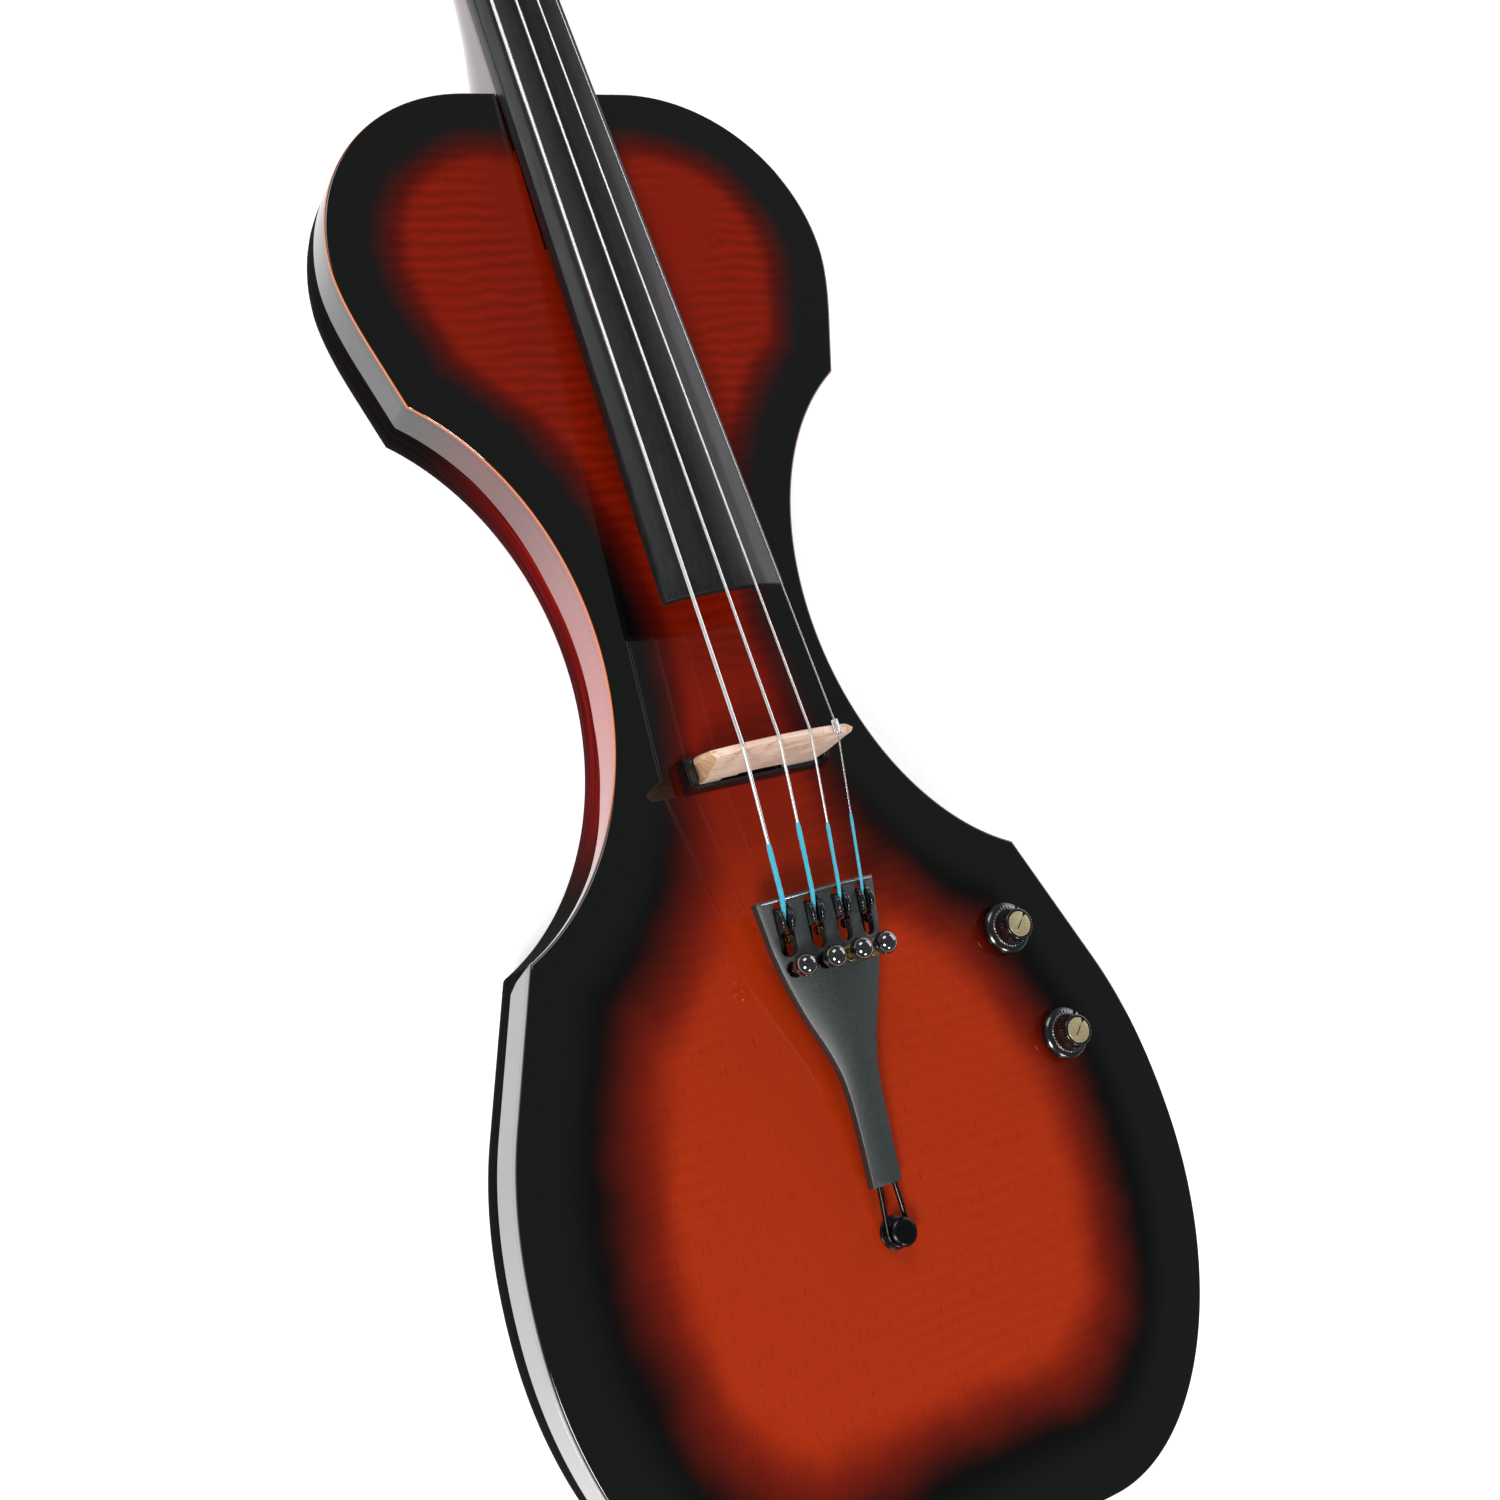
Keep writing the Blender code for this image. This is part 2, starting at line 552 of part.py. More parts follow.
def make_tailpiece():
    """Arched plate with a slot for each lever and a narrow stem down to its cord."""
    rings = []
    for y, half, arch in TAIL_STATIONS:
        top = [(half * (1 - i / 4), tail_crown(y) - arch * (1 - i / 4) ** 2) for i in range(9)]
        under = [(x, z - TAIL_THICK) for x, z in reversed(top)]
        rings.append([(x, y, z) for x, z in top + under])
    tailpiece = loft("tailpiece", rings, "tailpiece_black")
    for side, name in ((-1, "bass"), (1, "treble")):
        a, b = sorted((side * 0.0236, side * 0.0256))
        lug = box("weld_lug_" + name, (a, PIVOT_Y - 0.0022, PIVOT_Z - 0.0022),
                  (b, PIVOT_Y + 0.0022, PIVOT_Z + 0.0055),
                  "tailpiece_black")
        weld_on(tailpiece, lug)
        cut(tailpiece, turned("cut_lug_" + name, [(0.0012, -0.01), (0.0012, 0.01)],
                              ((a + b) / 2, PIVOT_Y, PIVOT_Z),
                              "X", "ebony", 10))
    for index, (name, _, _) in enumerate(STRINGS):
        x = string_x(index, TAIL_SPACING)
        cut(tailpiece, prism("cut_slot_" + name, stadium(x, 0.0035, SLOT_TOP_Y, SLOT_END_Y), "Z",
                             TOP + 0.008, TOP + 0.04, "ebony"))
        cut(tailpiece, turned("cut_screw_" + name, [(0.0021, 0.0), (0.0021, 0.03)],
                              (x, SCREW_Y, TOP + 0.01),
                              "Z", "ebony", 10))
    for side, name in ((-1, "left"), (1, "right")):
        cut(tailpiece, turned("cut_cord_" + name, [(0.0016, 0.0), (0.0016, 0.024)],
                              (side * 0.0038, TAIL_END_Y - 0.005, CORD_Z), "Y", "ebony", 8))
    fret = [(SADDLE_Y - 0.0006, 0.0), (SADDLE_Y + 0.0006, 0.0), (SADDLE_Y + 0.0004, 0.0009),
            (SADDLE_Y - 0.0004, 0.0009)]
    rings = []
    for step in range(9):
        x = 0.0275 * (step / 4 - 1)
        rings.append([(x, y, tail_surface(x, SADDLE_Y) + GAP + 0.0001 + z) for y, z in fret])
    loft("tailpiece_fret", rings, "steel")
    return tailpiece


def make_tuner(index, name):
    """String lever and the ball it holds, the thrust stem of its screw and the turning head."""
    x = string_x(index, TAIL_SPACING)
    lobe_y, lobe_r = PIVOT_Y + 0.0010, 0.0052
    lobe_z = tail_surface(x, lobe_y) - 0.0018
    outline = [(lobe_y + lobe_r * math.cos(math.radians(a)), lobe_z + lobe_r * math.sin(math.radians(a)))
               for a in range(-30, 211, 30)]
    outline += [(PIVOT_Y - 0.0028, PIVOT_Z + 0.0016), (SCREW_Y + 0.0030, TOP + 0.0127),
                (SCREW_Y - 0.0025, TOP + 0.0127),
                (SCREW_Y - 0.0025, TOP + 0.0108), (PIVOT_Y - 0.0010, PIVOT_Z - 0.0026),
                (PIVOT_Y + 0.0026, PIVOT_Z - 0.0015)]
    lever = prism("tuner_lever_" + name, outline, "X", x - 0.0028, x + 0.0028, "black_metal")
    cut(lever, box("cut_fork_" + name, (x - 0.0014, PIVOT_Y - 0.0060, PIVOT_Z + 0.0042),
                   (x + 0.0014, PIVOT_Y + 0.0100, TOP + 0.0400), "ebony"))
    cut(lever, turned("cut_pivot_" + name, [(0.0012, -0.01), (0.0012, 0.01)], (x, PIVOT_Y, PIVOT_Z), "X",
                      "ebony", 10))
    turned("string_ball_" + name, [(0.0009, -0.0022), (0.0021, -0.0016), (0.0021, 0.0016),
                                   (0.0009, 0.0022)],
           (x, lobe_y - 0.0078, lobe_z + 0.0005), "X", "brass", 10)
    inner = x - math.copysign(0.0030, x)
    low = tail_surface(inner, SCREW_Y) + SCREW_TRAVEL + 0.0006
    turned("tuner_stem_" + name, [(0.0012, TOP + 0.0131), (0.0016, TOP + 0.0137), (0.0016, low - GAP),
                                  (0.0010, low - GAP),
                                  (0.0010, low + 0.0030)], (x, SCREW_Y, 0), "Z", "black_metal", 10)
    middle = TOP + (0.0305 if index in (0, 3) else 0.0325)
    head = turned("tuner_head_" + name, [(0.0022, low), (0.0030, low + 0.0003), (0.0030, middle - 0.0034),
                                         (0.0044, middle - 0.0026), (0.0050, middle - 0.0008),
                                         (0.0049, middle + 0.0010),
                                         (0.0040, middle + 0.0030), (0.0026, middle + 0.0041),
                                         (0.0010, middle + 0.0045)],
                  (x, SCREW_Y, 0), "Z", "black_chrome", 12)
    cut(head, turned("cut_head_" + name, [(0.0014, low - 0.0010), (0.0014, low + 0.0033)], (x, SCREW_Y, 0),
                     "Z", "ebony", 10))


def make_tuner_axle():
    """One steel pin through all four levers and the lugs under the tailpiece."""
    tube("tuner_axle", [(-0.0262, PIVOT_Y, PIVOT_Z), (0.0262, PIVOT_Y, PIVOT_Z)], 0.0008, "steel")


def make_tail_cord():
    """A steel loop from the end of the tailpiece around a button on the body."""
    reach = 0.0052
    low = CORD_Z - 0.0020
    points = [(-0.0038, TAIL_END_Y + 0.0150, CORD_Z), (-0.0038, TAIL_END_Y - 0.0010, CORD_Z)]
    for angle in range(170, 371, 20):
        points.append((reach * math.cos(math.radians(angle)),
                       ANCHOR_Y + reach * math.sin(math.radians(angle)), low))
    points += [(-x, y, z) for x, y, z in reversed(points[:2])]
    tube("tail_cord", points, 0.0011, "black_metal", 2)
    turned("tail_anchor", [(0.0070, TOP + GAP), (0.0070, TOP + 0.0012), (0.0036, TOP + 0.0020),
                           (0.0036, TOP + 0.0072),
                           (0.0062, TOP + 0.0080), (0.0062, TOP + 0.0092), (0.0040, TOP + 0.0100)],
           (0, ANCHOR_Y, 0), "Z", "black_metal", 14)


# ---------------------------------------------------------------- strings
def string_path(index):
    """Corners of a string: fork, fret of the tailpiece, bridge, nut and peg."""
    name, diameter, height = STRINGS[index]
    radius = diameter / 2
    x_tail, x_bridge, x_nut = (string_x(index, s) for s in (TAIL_SPACING, BRIDGE_SPACING, NUT_SPACING))
    fret = tail_surface(x_tail, SADDLE_Y) + 2 * GAP + 0.0013 + radius
    nut = NUT_STRING_Z + (0.0009 if index in (1, 2) else 0.0) + radius
    y_peg = {peg: y for peg, _, y in PEGS}[name]
    return [(x_tail, PIVOT_Y + 0.0004, tail_surface(x_tail, PIVOT_Y) + radius), (x_tail, SADDLE_Y, fret),
            (x_bridge, 0.0, TOP + height), (x_nut, STRING_LENGTH + 0.0015, nut),
            (x_nut, STRING_LENGTH + 0.0075, nut - 0.0012),
            (x_nut * 0.8, y_peg - 0.002, PEG_Z + 0.0058 + radius)]


def make_string(index, name, diameter):
    return tube("string_" + name, string_path(index), diameter / 2, "string_steel", 1)


def sleeve_shape(name, radius, start, end):
    """Bent bar along the A string where it crosses the bridge."""
    _, fret, bridge, nut, *_ = (Vector(p) for p in string_path(3))
    rings = []
    for y, towards in ((start, fret), (0.0, nut), (end, nut)):
        run = (towards - bridge) / (towards.y - bridge.y)
        rings.append([bridge + run * y + Vector((radius * math.cos(math.radians(a)), 0,
                                                 radius * math.sin(math.radians(a))))
                      for a in range(0, 360, 36)])
    return loft(name, rings, "clear_tube")


# ---------------------------------------------------------------- controls, power and endpin
def make_control(name, x, y):
    """Potentiometer in the cavity, knob on its shaft and the disc set into the knob."""
    under = TOP - TOP_PLATE
    pot = turned(name + "_pot", [(0.0083, -0.0110), (0.0083, -0.0010), (0.0040, -0.0008), (0.0040, 0.0055)],
                 (x, y, under), "Z", "steel", 14)
    cut(pot, turned("cut_pot_" + name, [(0.0035, -0.0060), (0.0035, 0.0100)], (x, y, under), "Z", "ebony",
                    10))
    knob = turned(name + "_knob", [(0.0030, -0.0085), (0.0030, 0.0025), (0.0112, 0.0025), (0.0116, 0.0032),
                                   (0.0116, 0.0058), (0.0105, 0.0070), (0.0082, 0.0076), (0.0072, 0.0090),
                                   (0.0070, 0.0142), (0.0066, 0.0150)],
                  (x, y, TOP), "Z", "knob_black", 20)
    pointer = box("weld_pointer_" + name, (-0.0007, 0.0085, 0.0060), (0.0007, 0.0110, 0.0078), "knob_black")
    pointer.matrix_world = Matrix.Translation((x, y, TOP)) @ Matrix.Rotation(math.radians(-45), 4, "Z")
    weld_on(knob, pointer)
    cut(knob, turned("cut_disc_" + name, [(0.0059, 0.0), (0.0059, 0.01)], (x, y, TOP + 0.0143), "Z",
                     "ebony", 20))
    turned(name + "_disc", [(0.0056, 0.0), (0.0056, 0.0006)], (x, y, TOP + 0.0146), "Z", "knob_gold", 20)


def make_electronics():
    box("preamp_board", (0.0865, -0.1400, 0.0250), (0.1165, -0.1100, 0.0266), "circuit")
    box("preamp_chip", (0.0980, -0.1310, 0.0266 + GAP), (0.1080, -0.1210, 0.0300), "pickup_black")
    cover = box("control_cover", (0.0575, -0.1525, GAP), (0.0985, -0.0925, 0.0021), "pickup_black")
    for name, (x, y) in COVER_SCREWS:
        cut(cover, turned("cut_cover_head_" + name, [(0.0026, -0.001), (0.0026, 0.0012)], (x, y, 0), "Z",
                          "ebony", 10))
        cut(cover, turned("cut_cover_shank_" + name, [(0.0016, 0.0), (0.0016, 0.01)], (x, y, 0), "Z",
                          "ebony", 8))
        turned("cover_screw_" + name, [(0.0022, GAP), (0.0022, 0.0009), (0.0012, 0.0009), (0.0012, 0.0080)],
               (x, y, 0),
               "Z", "black_metal", 10)
    case = box("battery_box", (-0.1150, -0.2080, 0.0030), (-0.0550, -0.1720, 0.0270), "pickup_black")
    cut(case, box("cut_battery_case", (-0.1130, -0.2060, -0.01), (-0.0570, -0.1740, 0.0250), "ebony"))
    cut(case, box("cut_battery_wire", (-0.0630, -0.1870, 0.0200), (-0.0590, -0.1830, 0.0300), "ebony"))
    box("battery", (-0.1105, -0.2033, 0.0048), (-0.0620, -0.1768, 0.0223), "battery_skin", 0.0015)
    door = box("battery_door", (DOOR_HINGE[0] - 0.0010, -0.2078, GAP), (-0.0552, -0.1722, 0.0020),
               "pickup_black")
    weld_on(door, turned("weld_door_pin", [(0.0005, -0.0203), (0.0005, 0.0203)],
                         (DOOR_HINGE[0], -0.1900, DOOR_HINGE[1]),
                         "Y", "pickup_black", 8))
    lead = 0.0011
    tube("pickup_lead", [(0, 0.0035, TOP + 0.0010), (0, 0.0035, 0.0520), (0.0025, 0.0007, 0.0512),
                         (0.0400, -0.0410, 0.0512),
                         (0.0815, -0.0872, 0.0512), (0.0842, -0.0960, 0.0400), (0.0860, -0.1080, 0.0310),
                         (0.0885, -0.1115, 0.0283)], lead, "cable_black")
    tube("jack_lead", [(0.0960, -0.1370, 0.0283), (0.0940, -0.1500, 0.0300), (0.0920, -0.1620, 0.0450),
                       (0.0895, -0.1700, 0.0512),
                       (0.0600, -0.2514, 0.0512), (0.0450, -0.2920, 0.0512), (JACK_X, -0.2985, 0.0490),
                       (JACK_X, -0.3030, 0.0440)], lead, "cable_black")
    tube("battery_lead", [(-0.0606, -0.1850, 0.0226), (-0.0606, -0.1850, 0.0500),
                          (-0.0590, -0.1848, 0.0513),
                          (0.0100, -0.1730, 0.0513), (0.0820, -0.1603, 0.0513), (0.0850, -0.1540, 0.0420),
                          (0.0900, -0.1430, 0.0300), (0.0920, -0.1370, 0.0283)], lead, "cable_black")


def make_jack():
    """Quarter-inch socket in the tail, held by a flanged nut."""
    socket = turned("output_jack", [(0.0120, -0.0025), (0.0120, -GAP), (0.0070, -GAP), (0.0070, 0.0300)],
                    (JACK_X, TAIL_Y, PORT_Z), "Y", "black_metal", 16)
    cut(socket, turned("cut_jack_mouth", [(0.0033, -0.0100), (0.0033, 0.0280)], (JACK_X, TAIL_Y, PORT_Z),
                       "Y", "ebony", 12))
    return socket


def make_endpin():
    collar = turned("endpin_collar", [(0.0106, -0.0150), (0.0120, -0.0135), (0.0106, -0.0065),
                                      (0.0106, -0.0033),
                                      (0.0120, -0.0028), (0.0120, -GAP), (0.0090, -GAP), (0.0090, 0.0280)],
                    (0, TAIL_Y, PORT_Z), "Y", "black_metal", 16)
    cut(collar, turned("cut_collar", [(ROD_RADIUS + 0.0003, -0.02), (ROD_RADIUS + 0.0003, 0.04)],
                       (0, TAIL_Y, PORT_Z), "Y", "ebony", 12))
    cut(collar, turned("cut_collar_screw", [(0.0018, 0.0), (0.0018, 0.02)], (0, TAIL_Y - 0.0102, PORT_Z),
                       "Z", "ebony", 10))
    turned("endpin_rod", [(ROD_RADIUS * 0.6, 0.0), (ROD_RADIUS, 0.004), (ROD_RADIUS, ROD_LENGTH)],
           (0, TAIL_Y - 0.0250, PORT_Z), "Y", "steel", 12)
    tip = turned("endpin_tip", [(0.0040, -0.0200), (0.0075, -0.0180), (0.0088, -0.0060), (0.0080, 0.0080),
                                (0.0066, 0.0090)],
                 (0, TAIL_Y - 0.0252, PORT_Z), "Y", "rubber", 14)
    cut(tip, turned("cut_tip", [(ROD_RADIUS + 0.0003, 0.0), (ROD_RADIUS + 0.0003, 0.02)],
                    (0, TAIL_Y - 0.0255, PORT_Z), "Y", "ebony", 12))
    screw = turned("endpin_screw", [(0.0015, 0.0056), (0.0015, 0.0135), (0.0040, 0.0140), (0.0040, 0.0165)],
                   (0, TAIL_Y - 0.0102, PORT_Z), "Z", "black_chrome", 10)
    wing = loft("weld_wing", [[(hx * math.cos(math.radians(a)),
                                TAIL_Y - 0.0102 + 0.0016 * math.sin(math.radians(a)), PORT_Z + z)
                              for a in range(0, 360, 30)] for z,
                              hx in ((0.0160, 0.0050), (0.0190, 0.0085), (0.0240, 0.0090),
                                     (0.0265, 0.0050))],
                "black_chrome")
    weld_on(screw, wing)


def make_protector():
    """Short clear sleeve that keeps the A string out of the bridge's wood."""
    sleeve = sleeve_shape("string_sleeve", 0.00145, -0.0024, 0.0036)
    cut(sleeve, sleeve_shape("cut_sleeve", 0.0008, -0.0060, 0.0070))


def main():
    clear_scene()
    make_body()
    make_fingerboard()
    make_neck()
    make_nut()
    for name, side, y in PEGS:
        make_peg(name, side, y)
    make_bridge()
    make_tailpiece()
    for index, (name, diameter, _) in enumerate(STRINGS):
        make_tuner(index, name)
        make_string(index, name, diameter)
    make_tuner_axle()
    make_tail_cord()
    make_protector()
    make_control("volume", *VOLUME_XY)
    make_control("tone", *TONE_XY)
    make_electronics()
    make_jack()
    make_endpin()


main()
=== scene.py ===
"""The looks of the electric cello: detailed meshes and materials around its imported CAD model.

Frame: metres, +Z out of the front, +Y towards the scroll, +X towards the A string. The origin is on the
flat back, straight under the bridge. Each visual mesh has its object at the origin, so Object coordinates
are the frame's.
"""

import math

import bmesh
import bpy
from mathutils import Matrix, Vector


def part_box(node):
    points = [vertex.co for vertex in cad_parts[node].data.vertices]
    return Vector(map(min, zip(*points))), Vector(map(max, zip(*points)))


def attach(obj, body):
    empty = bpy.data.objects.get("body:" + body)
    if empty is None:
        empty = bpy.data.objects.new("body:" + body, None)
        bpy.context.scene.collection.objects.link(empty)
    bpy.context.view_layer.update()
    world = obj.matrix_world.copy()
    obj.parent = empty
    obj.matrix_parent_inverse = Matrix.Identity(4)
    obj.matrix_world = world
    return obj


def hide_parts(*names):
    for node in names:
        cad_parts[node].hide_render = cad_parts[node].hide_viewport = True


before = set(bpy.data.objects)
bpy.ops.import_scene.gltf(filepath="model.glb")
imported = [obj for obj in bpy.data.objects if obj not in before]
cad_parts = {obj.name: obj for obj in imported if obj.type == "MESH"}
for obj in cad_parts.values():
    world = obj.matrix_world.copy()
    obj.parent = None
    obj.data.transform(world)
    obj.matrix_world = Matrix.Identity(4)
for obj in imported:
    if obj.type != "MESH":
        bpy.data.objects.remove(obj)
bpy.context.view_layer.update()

MM = 0.001
NAMES = ("C", "G", "D", "A")

# ---------------------------------------------------------------- sizes, worked out from the frame
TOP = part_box("top_plate")[1].z
BACK_OF_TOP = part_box("top_plate")[0].z
TAIL_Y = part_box("body")[0].y
HEEL_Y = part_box("body")[1].y
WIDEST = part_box("body")[1].x
BOARD_LOW, BOARD_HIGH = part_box("fingerboard")
STRING_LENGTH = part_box("nut")[0].y
PIVOT_Y = (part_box("tuner_axle")[0].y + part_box("tuner_axle")[1].y) / 2
PIVOT_Z = (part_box("tuner_axle")[0].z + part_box("tuner_axle")[1].z) / 2

# body outline
WAIST_Y, WAIST_A, WAIST_B, WAIST_CENTRE_X = 0.063, 0.132, 0.1033, 0.1569
LOWER_CORNER, UPPER_CORNER = 0.124, 0.116
LOWER_SIDE, LOWER_SIDE_LENGTH = Vector((0.36, -0.933)), 0.0655
UPPER_SIDE, UPPER_SIDE_LENGTH = Vector((0.3, 0.954)), 0.03
LOWER_WIDEST, UPPER_WIDEST = Vector((WIDEST, -0.2)), Vector((0.124, 0.245))
TAIL_FLAT, HEEL_FLAT = 0.066, 0.04
SIDE_FOOT, ROLL = 0.03, 0.028
MITRE_REACH = 0.07       # how far from a corner its mitre can matter
EDGE_ROUND = 1.2 * MM
LOBE_DEPTH = 1.0 * MM

# fingerboard, strings, bridge and tailpiece
BOARD_RADIUS = 0.065
BOARD_END = (BOARD_LOW.y, 0.02875, TOP + 0.0315, TOP + 0.0187)       # y, half width, crown, underside
BOARD_NUT = (STRING_LENGTH, 0.01575, TOP - 0.0196, TOP - 0.027)
STRINGS = {"C": (0.0019, 0.0406), "G": (0.0015, 0.0436), "D": (0.00115, 0.0428), "A": (0.0008, 0.0384)}
BRIDGE_SPACING, NUT_SPACING, TAIL_SPACING = 0.01583, 0.0075, 0.01313
NUT_STRING_Z = TOP - 0.019
SADDLE_Y, SCREW_Y = -0.0632, -0.0917
SILK_START = {"C": -0.0405, "G": -0.0352, "D": -0.0378, "A": -0.0357}
SILK_RADIUS = {"C": 0.00115, "G": 0.00098, "D": 0.00078, "A": 0.00062}
TAIL_TOP_Y, TAIL_END_Y, TAIL_THICK = -0.062, -0.186, 0.0045
TAIL_CROWN, TAIL_FALL = TOP + 0.028, 0.155
TAIL_STATIONS = ((TAIL_TOP_Y, 0.029, 0.0068), (-0.072, 0.0277, 0.0062), (-0.083, 0.0262, 0.0057),
        (-0.095, 0.0233, 0.0056), (-0.1045, 0.0203, 0.0055), (-0.1145, 0.0169, 0.005),
        (-0.125, 0.0128, 0.004), (-0.137, 0.0092, 0.0028), (-0.15, 0.0076, 0.002), (-0.17, 0.007, 0.0016),
        (TAIL_END_Y, 0.007, 0.0014))
SLOT_TOP_Y, SLOT_END_Y, SLOT_HALF = -0.0668, -0.0865, 0.0035
ANCHOR_Y, CORD_Z = -0.206, TOP + 0.0062

# head and tail
BOX_Y, PEG_Z = 0.6965, 0.018
PEGS = {"C": (-1, 0.726), "A": (1, 0.75), "G": (-1, 0.778), "D": (1, 0.802)}
SCROLL_Y, SCROLL_Z, SCROLL_R = 0.862, 0.03, 0.026
PORT_Z, ROD_RADIUS, JACK_X = 0.0425, 0.005, 0.042
KNOBS = {"volume": (0.0995, -0.099), "tone": (0.112, -0.151)}

# hollows in the body, each as its two far corners
CONTROL_CHAMBER = (0.08, -0.178, 0.022), (0.122, -0.082, TOP)
CHAMBER_OPENING = (0.0625, -0.1475, -0.01), (0.0935, -0.0975, 0.04)
COVER_RECESS = (0.0572, -0.1528, -0.01), (0.0988, -0.0922, 0.0024)
BATTERY_WELL = (-0.1153, -0.2083, -0.01), (-0.0547, -0.1717, 0.0273)
WIRE_CHANNEL = (-0.004, -0.006, 0.049), (0.09, 0.01, TOP)
HINGE_X, HINGE_Z = -0.1128, 0.0012       # axis of the battery door

# sunburst: how far in from the outline it reaches, and how far in the distance is measured
BURST_LOWER, BURST_WAIST, RIM_REACH = 0.056, 0.0315, 0.075
TOP_DEPTHS = (2.5, 5, 8, 11, 14, 17, 20, 23, 26, 29, 32, 36, 40, 46)      # mm in from the outline
SHELL_DEPTHS = (0.034, 0.04, 0.048, 0.054)

WAVE_PITCH = 0.314       # metres between the stripes of a wave texture of scale 1

# studio, with each lamp's place, size, power and colour
CAMERA_PLACE, CAMERA_LENS = Vector((-0.3729, -0.1222, 0.71326)), 42.21
CAMERA_AXES = (0.8533, -0.2901, 0.4332), (0.1756, 0.9423, 0.2851), (-0.4909, -0.1672, 0.855)
FLOOR_GLOW, WORLD_LIGHT = 0.5, 0.2
LAMPS = {
    "key": ((-1.3, -0.9, 1.55), (0.6, 0.6), 36, (1.0, 0.99, 0.98)),
    "over": ((-0.55, 1.75, 1.7), (1.2, 0.9), 20, (0.98, 0.99, 1.0)),
    "rim": ((1.75, 0.62, 0.78), (1.5, 0.85), 15, (1.0, 0.94, 1.0)),
    "tail": ((0.15, -1.7, 1.1), (0.45, 0.35), 13, (1.0, 1.0, 1.0)),
}


# ---------------------------------------------------------------- materials
class Look:
    """A material being built: its node tree, with short ways to add what the surfaces here need."""

    def __init__(self, name, colour, roughness, **sockets):
        self.material = bpy.data.materials.new("look_" + name)
        self.material.use_nodes = True
        self.tree = self.material.node_tree
        self.shader = self.tree.nodes["Principled BSDF"]
        self.coordinates = self.tree.nodes.new("ShaderNodeTexCoord").outputs["Object"]
        self.shader.inputs["Base Color"].default_value = (*colour, 1.0)
        self.shader.inputs["Roughness"].default_value = roughness
        for socket, value in sockets.items():
            self.shader.inputs[socket.replace("_", " ")].default_value = value

    def join(self, value, socket):
        """Links an output, or sets a plain number, vector or colour."""
        if isinstance(value, bpy.types.NodeSocket):
            self.tree.links.new(value, socket)
        elif isinstance(value, tuple) and len(value) == 3 and socket.type == "RGBA":
            socket.default_value = (*value, 1.0)
        else:
            socket.default_value = value

    def scaled(self, scale):
        mapping = self.tree.nodes.new("ShaderNodeMapping")
        self.join(self.coordinates, mapping.inputs["Vector"])
        mapping.inputs["Scale"].default_value = scale
        return mapping.outputs["Vector"]

    def noise(self, scale, detail=3.0, roughness=0.5, distortion=0.0):
        """Noise with this many cells to the metre along each axis."""
        made = self.tree.nodes.new("ShaderNodeTexNoise")
        self.join(self.scaled(scale), made.inputs["Vector"])
        for socket, value in (("Scale", 1.0), ("Detail", detail), ("Roughness", roughness),
                ("Distortion", distortion)):
            made.inputs[socket].default_value = value
        return made.outputs["Fac"]

    def bands(self, axis, pitch, distortion=0.0, detail=2.0):
        """Stripes across an axis of the frame, pitch metres apart."""
        made = self.tree.nodes.new("ShaderNodeTexWave")
        made.bands_direction = axis
        self.join(self.coordinates, made.inputs["Vector"])
        for socket, value in (("Scale", WAVE_PITCH / pitch), ("Distortion", distortion),
                ("Detail", detail)):
            made.inputs[socket].default_value = value
        return made.outputs["Fac"]

    def math(self, operation, a, b):
        made = self.tree.nodes.new("ShaderNodeMath")
        made.operation = operation
        self.join(a, made.inputs[0])
        self.join(b, made.inputs[1])
        return made.outputs[0]

    def times(self, a, b):
        return self.math("MULTIPLY", a, b)

    def plus(self, a, b):
        return self.math("ADD", a, b)

    def minus(self, a, b):
        return self.math("SUBTRACT", a, b)

    def shade(self, colour, tone):
        """A colour made darker or lighter by a factor that varies over the surface."""
        return self.mix(1.0, colour, self.grey(tone), "MULTIPLY")

    def between(self, value, low, high, start=0.0, end=1.0):
        """Maps low..high smoothly to start..end."""
        made = self.tree.nodes.new("ShaderNodeMapRange")
        made.interpolation_type = "SMOOTHSTEP"
        for socket, given in zip(("Value", "From Min", "From Max", "To Min", "To Max"),
                (value, low, high, start, end)):
            self.join(given, made.inputs[socket])
        return made.outputs["Result"]

    def pores(self, scale, darkest):
        """1 on plain wood, and darkest in its short fine pores."""
        return self.between(self.noise(scale, 2.0, 0.6), 0.6, 0.74, 1.0, darkest)

    def mix(self, share, a, b, blend="MIX"):
        made = self.tree.nodes.new("ShaderNodeMix")
        made.data_type = "RGBA"
        made.blend_type = blend
        self.join(share, made.inputs[0])
        self.join(a, made.inputs[6])
        self.join(b, made.inputs[7])
        return made.outputs[2]

    def grey(self, value):
        made = self.tree.nodes.new("ShaderNodeCombineColor")
        for socket in made.inputs[:3]:
            self.join(value, socket)
        return made.outputs[0]

    def place(self, axis):
        """One coordinate of the frame, in metres."""
        made = self.tree.nodes.new("ShaderNodeSeparateXYZ")
        self.join(self.coordinates, made.inputs[0])
        return made.outputs[axis]

    def attribute(self, name):
        made = self.tree.nodes.new("ShaderNodeAttribute")
        made.attribute_name = name
        return made.outputs["Fac"]

    def colour(self, value):
        self.join(value, self.shader.inputs["Base Color"])

    def rough(self, value):
        self.join(value, self.shader.inputs["Roughness"])

    def bump(self, height, depth, strength=1.0):
        made = self.tree.nodes.new("ShaderNodeBump")
        made.inputs["Distance"].default_value = depth
        made.inputs["Strength"].default_value = strength
        self.join(height, made.inputs["Height"])
        self.join(made.outputs["Normal"], self.shader.inputs["Normal"])
        return made.outputs["Normal"]


